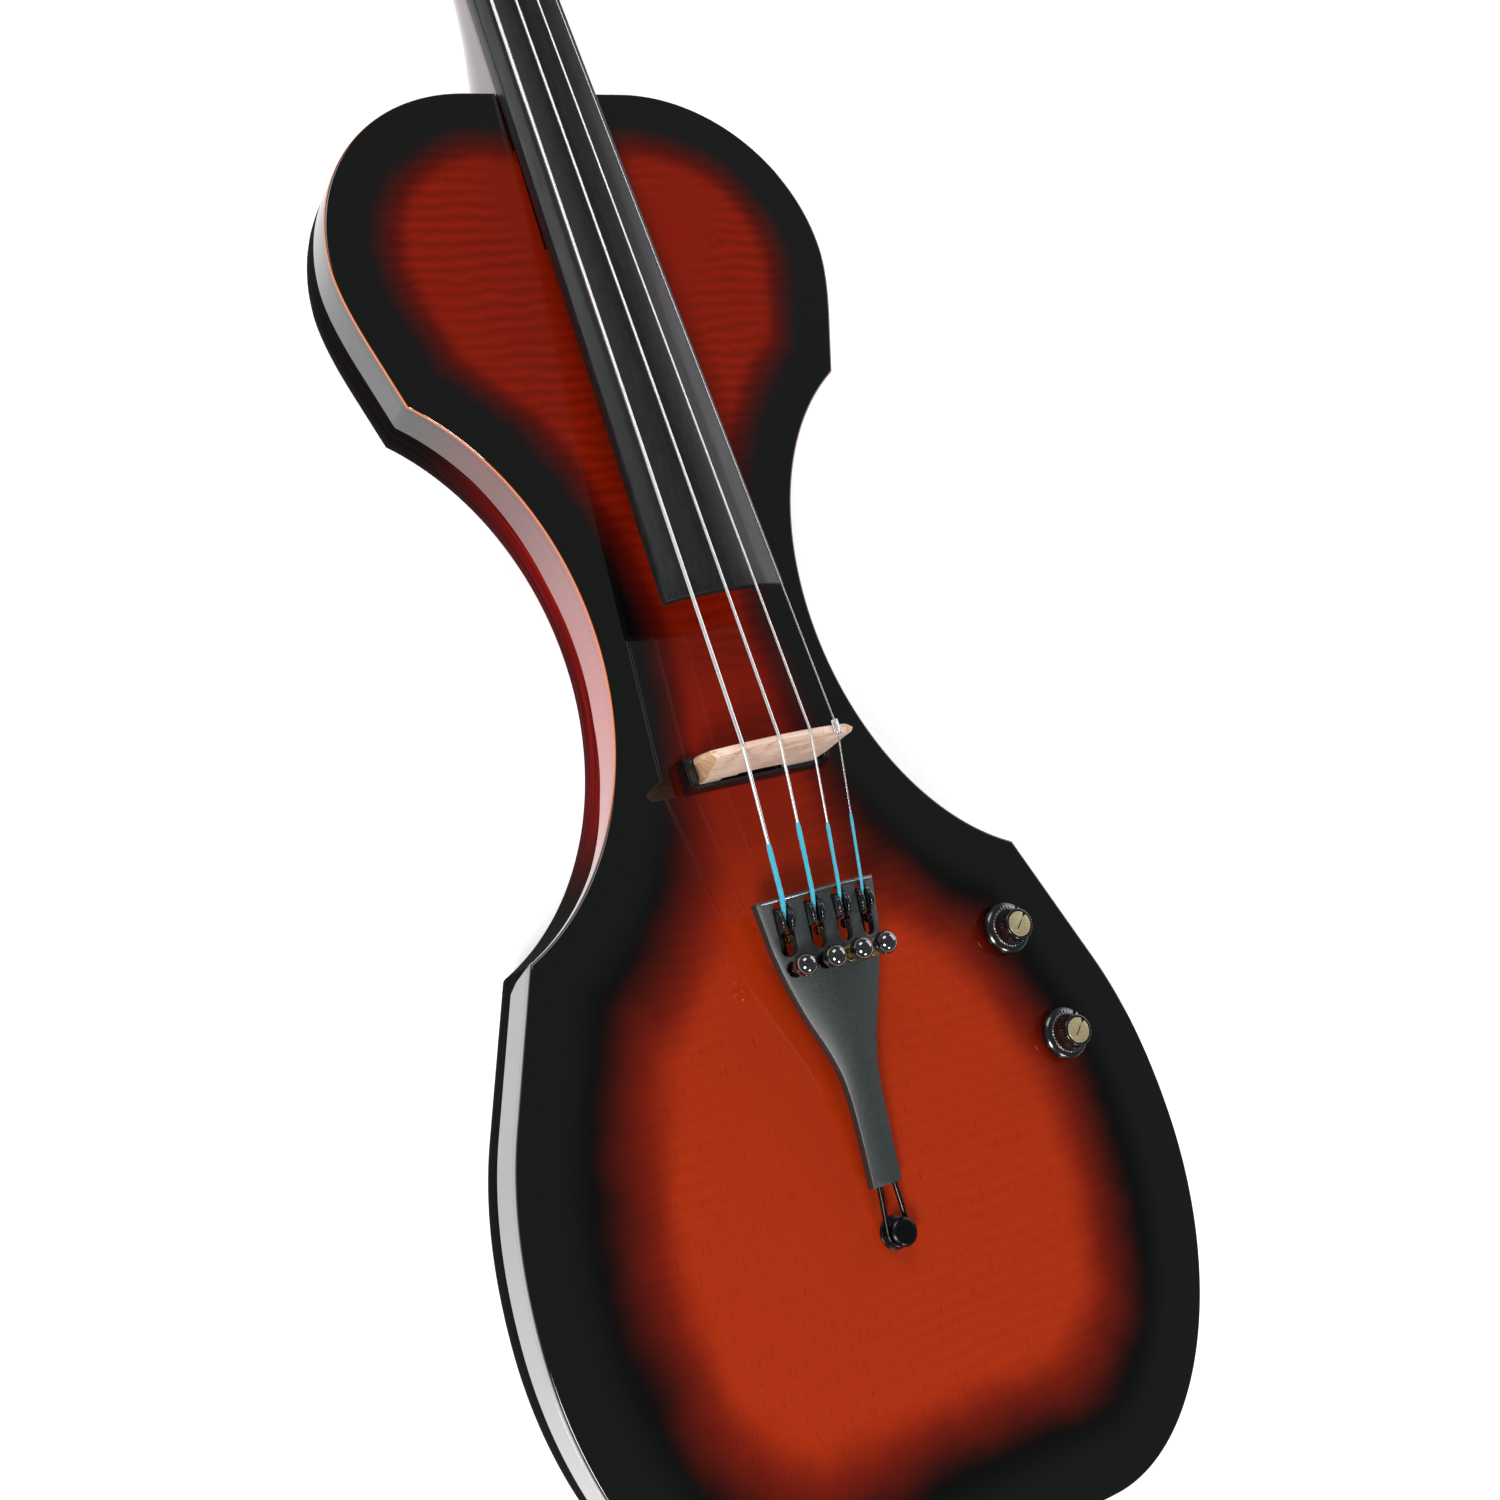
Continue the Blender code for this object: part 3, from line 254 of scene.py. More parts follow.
def flamed_burst(look, edge):
    """Sunburst over flamed maple: black at the rim, dark red, then red to orange in the middle."""
    rim, y = look.attribute("rim"), look.place("Y")
    width = look.between(y, -0.075, 0.025, BURST_LOWER, BURST_WAIST)
    cloud = look.noise((28, 28, 28), 2.0)
    share = look.plus(look.math("DIVIDE", rim, width), look.times(look.minus(cloud, 0.5), 0.25))
    middle = look.mix(look.between(y, 0.02, -0.1), (0.19, 0.008, 0.0012), (0.32, 0.023, 0.0032))
    red = look.mix(look.between(y, 0.03, -0.08), (0.095, 0.0036, 0.0011), (0.19, 0.0095, 0.0018))
    # flames run across the wood, strongest in the waist and under the bridge
    flame = look.bands("Y", 0.0062, 5.0, 3.0)
    patches = look.times(look.between(look.noise((14, 10, 10), 1.0), 0.42, 0.62),
            look.between(y, -0.105, -0.025, 0.25, 1.0))
    fine = look.noise((60, 320, 60), 2.0)
    wave = look.times(look.minus(look.plus(flame, fine), 1.0), patches)
    lit = look.plus(look.times(wave, 0.26), 1.0)
    pores = look.pores((1500, 110, 400), 0.62)
    tone = look.times(lit, pores)
    warm = look.mix(look.between(share, 0.9, 1.25), red, middle)
    grained = look.shade(warm, tone)
    burst = look.mix(look.between(share, 0.52, 1.2), (0.0012, 0.0014, 0.0014), grained)
    edge = look.mix(look.between(y, -0.035, 0.015), (0.02, 0.008, 0.006), edge)
    return look.mix(look.between(rim, 0.2 * MM, 0.6 * MM), edge, burst)


def make_top_look():
    look = Look("top_sunburst", (0.2, 0.02, 0.01), 0.3, Specular_IOR_Level=0.0, Coat_Weight=1.0,
            Coat_Roughness=0.012, Coat_IOR=1.55)
    look.colour(flamed_burst(look, (0.7, 0.2, 0.07)))
    gloss = look.between(look.attribute("rim"), 0.016, 0.034, 1.0, 0.4)
    look.join(gloss, look.shader.inputs["Coat Weight"])
    look.bump(look.noise((9, 9, 9), 1.0), 0.15 * MM, 0.05)
    return look.material


def make_lacquer_look():
    look = Look("body_lacquer", (0.1, 0.01, 0.01), 0.22, IOR=1.5, Coat_Weight=1.0, Coat_Roughness=0.015,
            Coat_IOR=1.66)
    rim, y = look.attribute("rim"), look.place("Y")
    flame = look.minus(look.bands("Y", 0.0058, 5.0, 3.0), 0.5)
    tone = look.plus(look.times(flame, 0.1), 1.0)
    waist = look.times(look.between(y, -0.05, -0.012), look.between(y, 0.178, 0.15))
    red = look.mix(look.between(y, 0.15, 0.02), (0.09, 0.008, 0.007), (0.37, 0.022, 0.015))
    look.join(look.between(y, 0.08, 0.15, 1.0, 0.5), look.shader.inputs["Coat Weight"])
    side = look.mix(waist, (0.006, 0.0012, 0.0012), red)
    back = look.mix(look.between(rim, 0.026, 0.052), (0.004, 0.0016, 0.0014), (0.165, 0.01, 0.003))
    shell = look.mix(look.between(rim, 0.02, 0.028), side, back)
    pores = look.pores((1300, 120, 1300), 0.88)
    look.colour(look.shade(shell, look.times(tone, pores)))
    look.bump(look.noise((10, 10, 10), 1.0), 0.15 * MM, 0.05)
    return look.material


def make_roll_look():
    """The rolled edge under the side: dark red, black towards the corners and the back."""
    look = Look("rolled_edge", (0.05, 0.01, 0.01), 0.28, Specular_IOR_Level=0.0, Coat_Roughness=0.06,
            Coat_IOR=1.3, Coat_Weight=0.03)
    y, z = look.place("Y"), look.place("Z")
    waist = look.times(look.between(y, -0.045, 0.01), look.between(y, 0.175, 0.11))
    red = look.mix(look.between(z, 0.038, 0.022), (0.17, 0.0045, 0.003), (0.075, 0.006, 0.008))
    streak = look.between(look.noise((14, 14, 900), 2.0), 0.42, 0.66, 0.6, 1.4)
    pores = look.pores((1300, 120, 1300), 0.7)
    wood = look.mix(waist, (0.005, 0.0036, 0.0036), red)
    look.colour(look.shade(wood, look.times(streak, pores)))
    look.bump(look.noise((10, 10, 10), 1.0), 0.15 * MM, 0.05)
    return look.material


def make_neck_look():
    look = Look("neck_lacquer", (0.1, 0.01, 0.01), 0.25, Coat_Weight=1.0, Coat_Roughness=0.03)
    y = look.place("Y")
    flame = look.minus(look.bands("Y", 0.0056, 6.0, 3.0), 0.5)
    ends = look.math("MAXIMUM", look.between(y, 0.66, 0.72), look.between(y, 0.42, 0.37))
    base = look.mix(ends, (0.12, 0.009, 0.003), (0.03, 0.0024, 0.0014))
    tone = look.plus(look.times(flame, 0.45), 1.0)
    pores = look.pores((1300, 110, 1300), 0.72)
    look.colour(look.shade(base, look.times(tone, pores)))
    look.bump(look.noise((900, 60, 900), 2.0), 0.02 * MM, 0.2)
    return look.material


def make_board_look():
    """Satin ebony-black, with open grain along the board."""
    look = Look("board_ebony", (0.02, 0.02, 0.02), 0.34, IOR=1.33)
    grain = look.noise((2600, 90, 900), 3.0, 0.65)
    streak = look.noise((260, 5, 260), 2.0)
    look.colour(look.mix(look.between(grain, 0.4, 0.7), (0.0075, 0.0085, 0.0082), (0.0165, 0.016, 0.0165)))
    look.rough(look.between(look.plus(grain, look.times(streak, 0.4)), 0.45, 1.0, 0.3, 0.46))
    look.bump(grain, 0.06 * MM, 0.45)
    return look.material


def make_ebony_look():
    look = Look("ebony", (0.02, 0.02, 0.02), 0.26, Coat_Weight=0.3, Coat_Roughness=0.15)
    grain = look.noise((500, 500, 40), 3.0, 0.6)
    look.colour(look.mix(look.between(grain, 0.45, 0.75), (0.006, 0.0055, 0.005), (0.024, 0.018, 0.014)))
    look.rough(look.between(grain, 0.3, 0.7, 0.22, 0.36))
    look.bump(grain, 0.04 * MM, 0.3)
    return look.material


def make_bridge_look(name, pale, tan, flecked):
    look = Look(name, pale, 0.48, IOR=1.45, Subsurface_Weight=0.04, Subsurface_Scale=0.002)
    rings = look.noise((30, 300, 420), 3.0, 0.55, 0.4)
    fine = look.noise((240, 900, 1600), 3.0, 0.6)
    wood = look.mix(look.between(rings, 0.36, 0.68), pale, tan)
    wood = look.mix(look.times(look.between(fine, 0.45, 0.75), 0.45), wood, tan)
    if flecked:
        fleck = look.between(look.noise((150, 150, 620), 1.0, 0.4), 0.655, 0.69)
        zone = look.times(look.between(look.place("Z"), TOP + 0.016, TOP + 0.02),
                look.between(look.place("X"), 0.02, 0.013))
        wood = look.mix(look.times(look.times(fleck, zone), 0.75), wood, (0.36, 0.17, 0.085))
    look.colour(wood)
    look.rough(look.between(fine, 0.3, 0.7, 0.4, 0.56))
    look.bump(fine, 0.05 * MM, 0.35)
    return look.material


def make_black(name, colour, roughness, grain=700, depth=0.02, spread=0.08, **sockets):
    """Moulded or painted black, with a fine uneven surface."""
    look = Look(name, colour, roughness, **sockets)
    uneven = look.noise((grain, grain, grain), 3.0, 0.6)
    lighter = tuple(min(1.0, c * 1.7 + 0.002) for c in colour)
    look.colour(look.mix(look.between(uneven, 0.45, 0.75), colour, lighter))
    look.rough(look.between(uneven, 0.3, 0.7, max(0.02, roughness - spread), roughness + spread))
    look.bump(uneven, depth * MM, 0.4)
    return look.material


def make_metal(name, colour, roughness, brushed=(300, 300, 300), **sockets):
    """Metal with faint brush or wear marks."""
    look = Look(name, colour, roughness, Metallic=1.0, **sockets)
    marks = look.noise(brushed, 3.0, 0.6)
    worn = look.noise((90, 90, 90), 2.0)
    dark = tuple(c * 0.72 for c in colour)
    look.colour(look.mix(look.between(worn, 0.35, 0.75), colour, dark))
    look.rough(look.between(marks, 0.3, 0.7, roughness * 0.7, roughness * 1.4))
    look.bump(marks, 0.008 * MM, 0.3)
    return look.material


def make_string_look(name, colour, pitch, roughness):
    """Flat wire wound round a core."""
    look = Look(name, colour, roughness, Metallic=1.0)
    turns = look.bands("Y", pitch, 0.0, 0.0)
    look.colour(look.mix(look.between(turns, 0.0, 0.35), tuple(c * 0.8 for c in colour), colour))
    look.bump(turns, 0.04 * MM, 0.3)
    return look.material


def make_silk_look():
    """Dyed thread over the string's end."""
    look = Look("string_silk", (0.04, 0.45, 0.6), 0.55, Sheen_Weight=0.4)
    turns = look.bands("Y", 0.55 * MM, 0.6, 2.0)
    uneven = look.noise((500, 160, 500), 2.0)
    thread = look.mix(look.between(turns, 0.0, 0.7), (0.01, 0.26, 0.36), (0.028, 0.52, 0.7))
    thread = look.mix(look.between(uneven, 0.35, 0.7, 0.0, 0.6), thread, (0.014, 0.34, 0.48))
    ragged = look.plus(look.place("Y"), look.times(uneven, 0.002))
    look.colour(look.mix(look.between(ragged, PIVOT_Y - 0.0022, PIVOT_Y - 0.001), (0.02, 0.014, 0.008),
            thread))
    look.bump(turns, 0.1 * MM, 0.7)
    return look.material


def make_gold_look():
    look = Look("knob_gold", (0.6, 0.5, 0.28), 0.34, Metallic=0.75)
    brushed = look.noise((260, 2600, 400), 3.0, 0.6)
    patches = look.noise((420, 420, 420), 2.0)
    metal = look.mix(look.between(brushed, 0.35, 0.7), (0.66, 0.58, 0.35), (0.46, 0.36, 0.18))
    look.colour(look.mix(look.between(patches, 0.45, 0.75, 0.0, 0.5), metal, (0.7, 0.62, 0.42)))
    look.rough(look.between(brushed, 0.3, 0.7, 0.28, 0.46))
    look.bump(brushed, 0.02 * MM, 0.4)
    return look.material


def make_tube_look():
    look = Look("clear_tube", (0.96, 0.97, 0.97), 0.06, IOR=1.45, Transmission_Weight=0.85, Coat_Weight=0.5)
    smear = look.noise((900, 300, 900), 2.0)
    look.rough(look.between(smear, 0.4, 0.7, 0.05, 0.2))
    look.bump(smear, 0.02 * MM, 0.2)
    return look.material


def make_circuit_look():
    look = Look("circuit", (0.01, 0.1, 0.03), 0.35, Coat_Weight=0.4)
    tracks = look.times(look.between(look.bands("X", 0.003), 0.55, 0.62),
            look.between(look.noise((90, 60, 90), 1.0), 0.45, 0.5))
    look.colour(look.mix(tracks, (0.008, 0.085, 0.024), (0.045, 0.23, 0.08)))
    look.bump(tracks, 0.05 * MM, 0.4)
    return look.material


LOOKS = {
    "top": make_top_look(),
    "lacquer": make_lacquer_look(),
    "roll": make_roll_look(),
    "neck": make_neck_look(),
    "board": make_board_look(),
    "ebony": make_ebony_look(),
    "bridge": make_bridge_look("bridge_face", (0.76, 0.6, 0.5), (0.66, 0.45, 0.33), True),
    "bridge_end": make_bridge_look("bridge_end", (0.62, 0.4, 0.25), (0.45, 0.24, 0.12), False),
    "tailpiece": make_black("tailpiece", (0.019, 0.025, 0.025), 0.45, 1500, 0.03, 0.06, Coat_Weight=0.08,
            Coat_Roughness=0.3),
    "pickup": make_black("pickup_black", (0.004, 0.005, 0.005), 0.16, 300, 0.01, 0.05, Coat_Weight=0.6,
            Coat_Roughness=0.05),
    "gloss_black": make_black("knob_black", (0.003, 0.0036, 0.0036), 0.22, 260, 0.008, 0.04,
            Coat_Weight=0.45, Coat_Roughness=0.06),
    "lever": make_black("lever_black", (0.004, 0.0045, 0.0048), 0.16, 500, 0.01, 0.06, Coat_Weight=1.0,
            Coat_Roughness=0.06),
    "plastic": make_black("plastic_black", (0.007, 0.007, 0.0072), 0.42, 2200, 0.05, 0.08),
    "rubber": make_black("rubber", (0.009, 0.009, 0.0088), 0.72, 1800, 0.08, 0.08),
    "cable": make_black("cable_black", (0.008, 0.008, 0.008), 0.5, 1200, 0.03, 0.08),
    "skin": make_black("battery_skin", (0.035, 0.037, 0.042), 0.36, 400, 0.02, 0.08, Metallic=0.3),
    "black_metal": make_metal("black_metal", (0.03, 0.031, 0.033), 0.26, (900, 900, 900)),
    "black_chrome": make_black("black_chrome", (0.004, 0.004, 0.0042), 0.05, 400, 0.002, 0.02, IOR=1.7,
            Coat_Weight=1.0, Coat_Roughness=0.01, Coat_IOR=1.7),
    "steel": make_metal("steel", (0.62, 0.62, 0.64), 0.2, (900, 30, 900)),
    "saddle": make_metal("saddle_nickel", (0.3, 0.31, 0.31), 0.3, (400, 900, 900)),
    "brass": make_metal("brass", (0.62, 0.42, 0.15), 0.22, (900, 900, 900)),
    "dull_brass": make_metal("dull_brass", (0.1, 0.06, 0.02), 0.32, (900, 900, 900)),
    "string": make_string_look("string_wound", (0.84, 0.83, 0.83), 0.4 * MM, 0.34),
    "string_fine": make_string_look("string_fine", (0.5, 0.5, 0.51), 0.25 * MM, 0.26),
    "silk": make_silk_look(),
    "gold": make_gold_look(),
    "tube": make_tube_look(),
    "circuit": make_circuit_look(),
    "dot": make_black("white_paint", (0.75, 0.75, 0.74), 0.35, 900, 0.01, 0.05),
}


# ---------------------------------------------------------------- mesh tools
def between(a, b, share):
    return a + (b - a) * share


def cos_deg(angle):
    return math.cos(math.radians(angle))


def sin_deg(angle):
    return math.sin(math.radians(angle))


def loft(rings, shape=None):
    """A solid through rings of equally many points, capped at both ends."""
    shape = shape or bmesh.new()
    made = [[shape.verts.new(p) for p in ring] for ring in rings]
    count = len(made[0])
    for low, high in zip(made, made[1:]):
        for i in range(count):
            j = (i + 1) % count
            shape.faces.new((low[i], low[j], high[j], high[i]))
    shape.faces.new(list(reversed(made[0])))
    shape.faces.new(made[-1])
    return shape


def block(low, high):
    corners = ((low[0], low[1]), (high[0], low[1]), (high[0], high[1]), (low[0], high[1]))
    return loft([[(x, y, z) for x, y in corners] for z in (low[2], high[2])])


def prism(outline, axis, start, end, shape=None):
    """Extrudes a 2-D outline: X takes (y, z), Y takes (x, z) and Z takes (x, y) points."""
    place = {"X": lambda a, b, c: (c, a, b), "Y": lambda a, b, c: (a, c, b), "Z": lambda a, b, c: (a, b, c)}
    return loft([[place[axis](a, b, c) for a, b in outline] for c in (start, end)], shape=shape)


AXES = {"X": Vector((1, 0, 0)), "-X": Vector((-1, 0, 0)), "Y": Vector((0, 1, 0)), "-Y": Vector((0, -1, 0)),
        "Z": Vector((0, 0, 1)), "-Z": Vector((0, 0, -1))}


def turned(profile, centre, axis, steps=48, ribs=None):
    """A solid of revolution from (radius, distance) pairs. ribs = (first, last, count, depth) flutes it."""
    along = AXES[axis] if isinstance(axis, str) else Vector(axis).normalized()
    turn = along.to_track_quat("Z", "Y").to_matrix()
    rings = []
    for index, (radius, distance) in enumerate(profile):
        ring = []
        for step in range(steps):
            angle = 2 * math.pi * step / steps
            r = radius
            if ribs and ribs[0] <= index <= ribs[1]:
                r -= ribs[3] * (0.5 - 0.5 * math.cos(angle * ribs[2]))
            ring.append(Vector(centre) + turn @ Vector((r * math.cos(angle), r * math.sin(angle),
                    distance)))
        rings.append(ring)
    return loft(rings)


def placed(shape, matrix):
    bmesh.ops.transform(shape, matrix=matrix, verts=shape.verts)
    return shape


def rounded(profile, radius=0.3 * MM, steps=3):
    """Rounds the inner corners of a profile of (radius, distance) pairs."""
    made = [Vector(profile[0])]
    for before, corner, after in zip(profile, profile[1:], profile[2:]):
        before, corner, after = Vector(before), Vector(corner), Vector(after)
        size = min(radius, (before - corner).length * 0.45, (after - corner).length * 0.45)
        start = corner + (before - corner).normalized() * size
        end = corner + (after - corner).normalized() * size
        for step in range(steps + 1):
            t = step / steps
            made.append(start * (1 - t) ** 2 + corner * (2 * t * (1 - t)) + end * t ** 2)
    made.append(Vector(profile[-1]))
    return [tuple(p) for p in made]


def bar(radius, start, end, centre, axis, steps=48):
    return turned([(radius, start), (radius, end)], centre, axis, steps)


def sweep(points, radius, sides=20):
    """A round bar along points. radius is a number, or a function of the point."""
    points = [Vector(p) for p in points]
    rings, across = [], None
    for index, point in enumerate(points):
        run = (points[min(index + 1, len(points) - 1)] - points[max(index - 1, 0)]).normalized()
        if across is None:
            across = run.orthogonal().normalized()
        across = (across - run * across.dot(run)).normalized()
        other = run.cross(across)
        r = radius(point) if callable(radius) else radius
        rings.append([point + across * (r * math.cos(2 * math.pi * s / sides))
                + other * (r * math.sin(2 * math.pi * s / sides)) for s in range(sides)])
    return loft(rings)


def bent_path(points, radius, steps=5, longest=0.02):
    """A polyline with rounded corners, divided so that no stretch is long."""
    points = [Vector(p) for p in points]
    made = [points[0]]
    for before, corner, after in zip(points, points[1:], points[2:]):
        size = min(radius, (before - corner).length * 0.45, (after - corner).length * 0.45)
        start = corner + (before - corner).normalized() * size
        end = corner + (after - corner).normalized() * size
        made += [start * (1 - s / steps) ** 2 + corner * (2 * s / steps * (1 - s / steps))
                + end * (s / steps) ** 2 for s in range(steps + 1)]
    made.append(points[-1])
    fine = [made[0]]
    for a, b in zip(made, made[1:]):
        count = max(1, int((b - a).length / longest))
        fine += [a.lerp(b, (i + 1) / count) for i in range(count)]
    return fine


def smooth_table(rows, steps):
    """Catmull-Rom through rows of numbers, with steps between two rows."""
    made = []
    for i in range(len(rows) - 1):
        p = [rows[max(i - 1, 0)], rows[i], rows[i + 1], rows[min(i + 2, len(rows) - 1)]]
        for s in range(steps):
            t = s / steps
            made.append(tuple(0.5 * (2 * b + (c - a) * t + (2 * a - 5 * b + 4 * c - d) * t ** 2
                    + (3 * b - a - 3 * c + d) * t ** 3) for a, b, c, d in zip(*p)))
    made.append(tuple(rows[-1]))
    return made


def bare_object(name, shape):
    bmesh.ops.remove_doubles(shape, verts=shape.verts, dist=1e-6)
    bmesh.ops.recalc_face_normals(shape, faces=shape.faces)
    mesh = bpy.data.meshes.new(name)
    shape.to_mesh(mesh)
    shape.free()
    obj = bpy.data.objects.new(name, mesh)
    bpy.context.scene.collection.objects.link(obj)
    return obj


def settle(obj):
    """Applies the object's modifiers to its mesh."""
    obj.data = bpy.data.meshes.new_from_object(obj.evaluated_get(bpy.context.evaluated_depsgraph_get()))
    obj.modifiers.clear()


def carve(solid, *shapes, operation="DIFFERENCE"):
    """Cuts shapes out of a solid, or welds them on, and returns it as an object."""
    obj = solid if isinstance(solid, bpy.types.Object) else bare_object("carved", solid)
    helpers = []
    for shape in shapes:
        helper = bare_object("helper", shape)
        boolean = obj.modifiers.new("boolean", "BOOLEAN")
        boolean.operation, boolean.object, boolean.solver = operation, helper, "EXACT"
        helpers.append(helper)
    settle(obj)
    for helper in helpers:
        bpy.data.objects.remove(helper)
    return obj


def piece(name, shape, look, nodes=(), body="instrument", bevel=0.0, segments=2, smooth=35):
    """Names a mesh, gives it its look, and lets it ride on a body in place of CAD nodes."""
    obj = shape if isinstance(shape, bpy.types.Object) else bare_object(name, shape)
    obj.name = obj.data.name = name
    if bevel:
        edges = obj.modifiers.new("bevel", "BEVEL")
        edges.width, edges.segments = bevel, segments
        edges.limit_method, edges.angle_limit = "ANGLE", math.radians(30)
        settle(obj)
        obj.data.name = name
    obj.data.materials.clear()
    obj.data.materials.append(LOOKS[look])
    obj.data.shade_smooth()
    obj.data.set_sharp_from_angle(angle=math.radians(smooth))
    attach(obj, body)
    if nodes:
        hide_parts(*nodes)
    return obj


def repaint(look, *nodes):
    """Gives CAD nodes that keep their own mesh a finished material."""
    for node in nodes:
        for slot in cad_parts[node].material_slots:
            slot.material = LOOKS[look]


# ---------------------------------------------------------------- body
def waist_half(offset):
    return WAIST_CENTRE_X - WAIST_B * math.sqrt(1 - (offset / WAIST_A) ** 2)


def quadratic(start, pull, end, steps):
    return [start * (1 - t) ** 2 + pull * (2 * t * (1 - t)) + end * t ** 2
            for t in (s / steps for s in range(1, steps + 1))]


def outline_runs():
    """The right-hand edge as three smooth runs from the tail's middle to the neck's, meeting at the corners."""
    lower = Vector((waist_half(LOWER_CORNER), WAIST_Y - LOWER_CORNER))
    upper = Vector((waist_half(UPPER_CORNER), WAIST_Y + UPPER_CORNER))
    bout = [Vector((TAIL_FLAT * s / 6, TAIL_Y)) for s in range(6)]
    for step in range(49):
        angle = math.pi / 2 * step / 48
        bout.append(Vector((TAIL_FLAT + (LOWER_WIDEST.x - TAIL_FLAT) * math.sin(angle),
                LOWER_WIDEST.y + (TAIL_Y - LOWER_WIDEST.y) * math.cos(angle))))
    hip = lower + LOWER_SIDE * LOWER_SIDE_LENGTH
    bout += quadratic(LOWER_WIDEST, hip + LOWER_SIDE * ((LOWER_WIDEST.x - hip.x) / LOWER_SIDE.x), hip, 16)
    bout += [hip.lerp(lower, s / 16) for s in range(1, 17)]
    start, end, steps = math.asin(LOWER_CORNER / WAIST_A), math.asin(UPPER_CORNER / WAIST_A), 90
    waist = []
    for step in range(steps + 1):
        offset = WAIST_A * math.sin(-start + (start + end) * step / steps)
        waist.append(Vector((waist_half(offset), WAIST_Y + offset)))
    shoulder = upper + UPPER_SIDE * UPPER_SIDE_LENGTH
    neck = [upper.lerp(shoulder, s / 10) for s in range(11)]
    neck += quadratic(shoulder, shoulder + UPPER_SIDE * ((UPPER_WIDEST.x - shoulder.x) / UPPER_SIDE.x),
            UPPER_WIDEST, 12)
    for step in range(1, 37):
        angle = math.pi / 2 * step / 36
        neck.append(Vector((HEEL_FLAT + (UPPER_WIDEST.x - HEEL_FLAT) * math.cos(angle),
                UPPER_WIDEST.y + (HEEL_Y - UPPER_WIDEST.y) * math.sin(angle))))
    neck += [Vector((HEEL_FLAT * (1 - s / 5), HEEL_Y)) for s in range(1, 6)]
    return bout, waist, neck


def run_normals(run):
    made = []
    for i in range(len(run)):
        along = (run[min(i + 1, len(run) - 1)] - run[max(i - 1, 0)]).normalized()
        made.append(Vector((along.y, -along.x)))
    return made


def outline_rays():
    """Points of the closed outline, each with how it moves as the outline is set in. Near a corner a point
    moves along its own normal until it meets the corner's mitre, and then along the mitre."""
    runs = outline_runs()
    normals = [run_normals(run) for run in runs]
    corners = []
    for a, b in ((0, 1), (1, 2)):
        middle = (normals[a][-1] + normals[b][0]).normalized()
        corners.append((runs[a][-1], middle, middle / middle.dot(normals[a][-1])))
    half = []
    for index, (run, sides) in enumerate(zip(runs, normals)):
        for i, (point, normal) in enumerate(zip(run, sides)):
            if i == 0 and index > 0:
                continue
            mitres = []
            for corner, middle, travel in corners:
                if (point - corner).length < MITRE_REACH:
                    cross = normal.x * middle.y - normal.y * middle.x
                    away = point - corner
                    reach = (away.x * middle.y - away.y * middle.x) / cross if abs(cross) > 1e-4 else -1.0
                    if (point - corner).length < 1e-7:
                        reach = 0.0
                    if reach >= 0:
                        mitres.append((reach, corner, travel))
            half.append((point, normal, min(mitres, key=lambda m: m[0]) if mitres else None))
    flip = Matrix(((-1, 0), (0, 1)))
    other = []
    for point, normal, mitre in reversed(half[1:-1]):
        flipped = (mitre[0], flip @ mitre[1], flip @ mitre[2]) if mitre else None
        other.append((flip @ point, flip @ normal, flipped))
    return half + other


RAYS = outline_rays()


def set_in(distance, z):
    ring = []
    for point, normal, mitre in RAYS:
        moved = point - normal * distance
        if mitre and distance >= mitre[0]:
            moved = mitre[1] - mitre[2] * distance
        ring.append((moved.x, moved.y, z))
    return ring


def rim_attribute(obj, deepest):
    """How far each vertex is from the outline, up to the deepest value."""
    rim = obj.data.attributes.new("rim", "FLOAT", "POINT")
    segments = [(a[0], b[0] - a[0]) for a, b in zip(RAYS, RAYS[1:] + RAYS[:1])]

    def distance(place, start, run):
        share = max(0.0, min(1.0, (place - start).dot(run) / run.length_squared))
        return (place - (start + run * share)).length

    for vertex, value in zip(obj.data.vertices, rim.data):
        place = vertex.co.xy
        value.value = min(min(distance(place, start, run) for start, run in segments), deepest)


def neck_pocket():
    return block((-0.0232, 0.2495, 0.021), (0.0232, HEEL_Y + 0.01, TOP + 0.01))


def roll_line(y):
    """Height where the dark rolled edge ends on the side: it climbs to the top at the lower corner."""
    heights = ((-0.0665, 0.037), (-0.0608, 0.0578), (-0.03, 0.0535), (0.0, 0.0445), (0.035, 0.0385),
            (0.1, 0.0365), (0.15, 0.04))
    if y <= heights[0][0]:
        return heights[0][1]
    for (low_y, low), (high_y, high) in zip(heights, heights[1:]):
        if y <= high_y:
            return between(low, high, (y - low_y) / (high_y - low_y))
    return heights[-1][1]


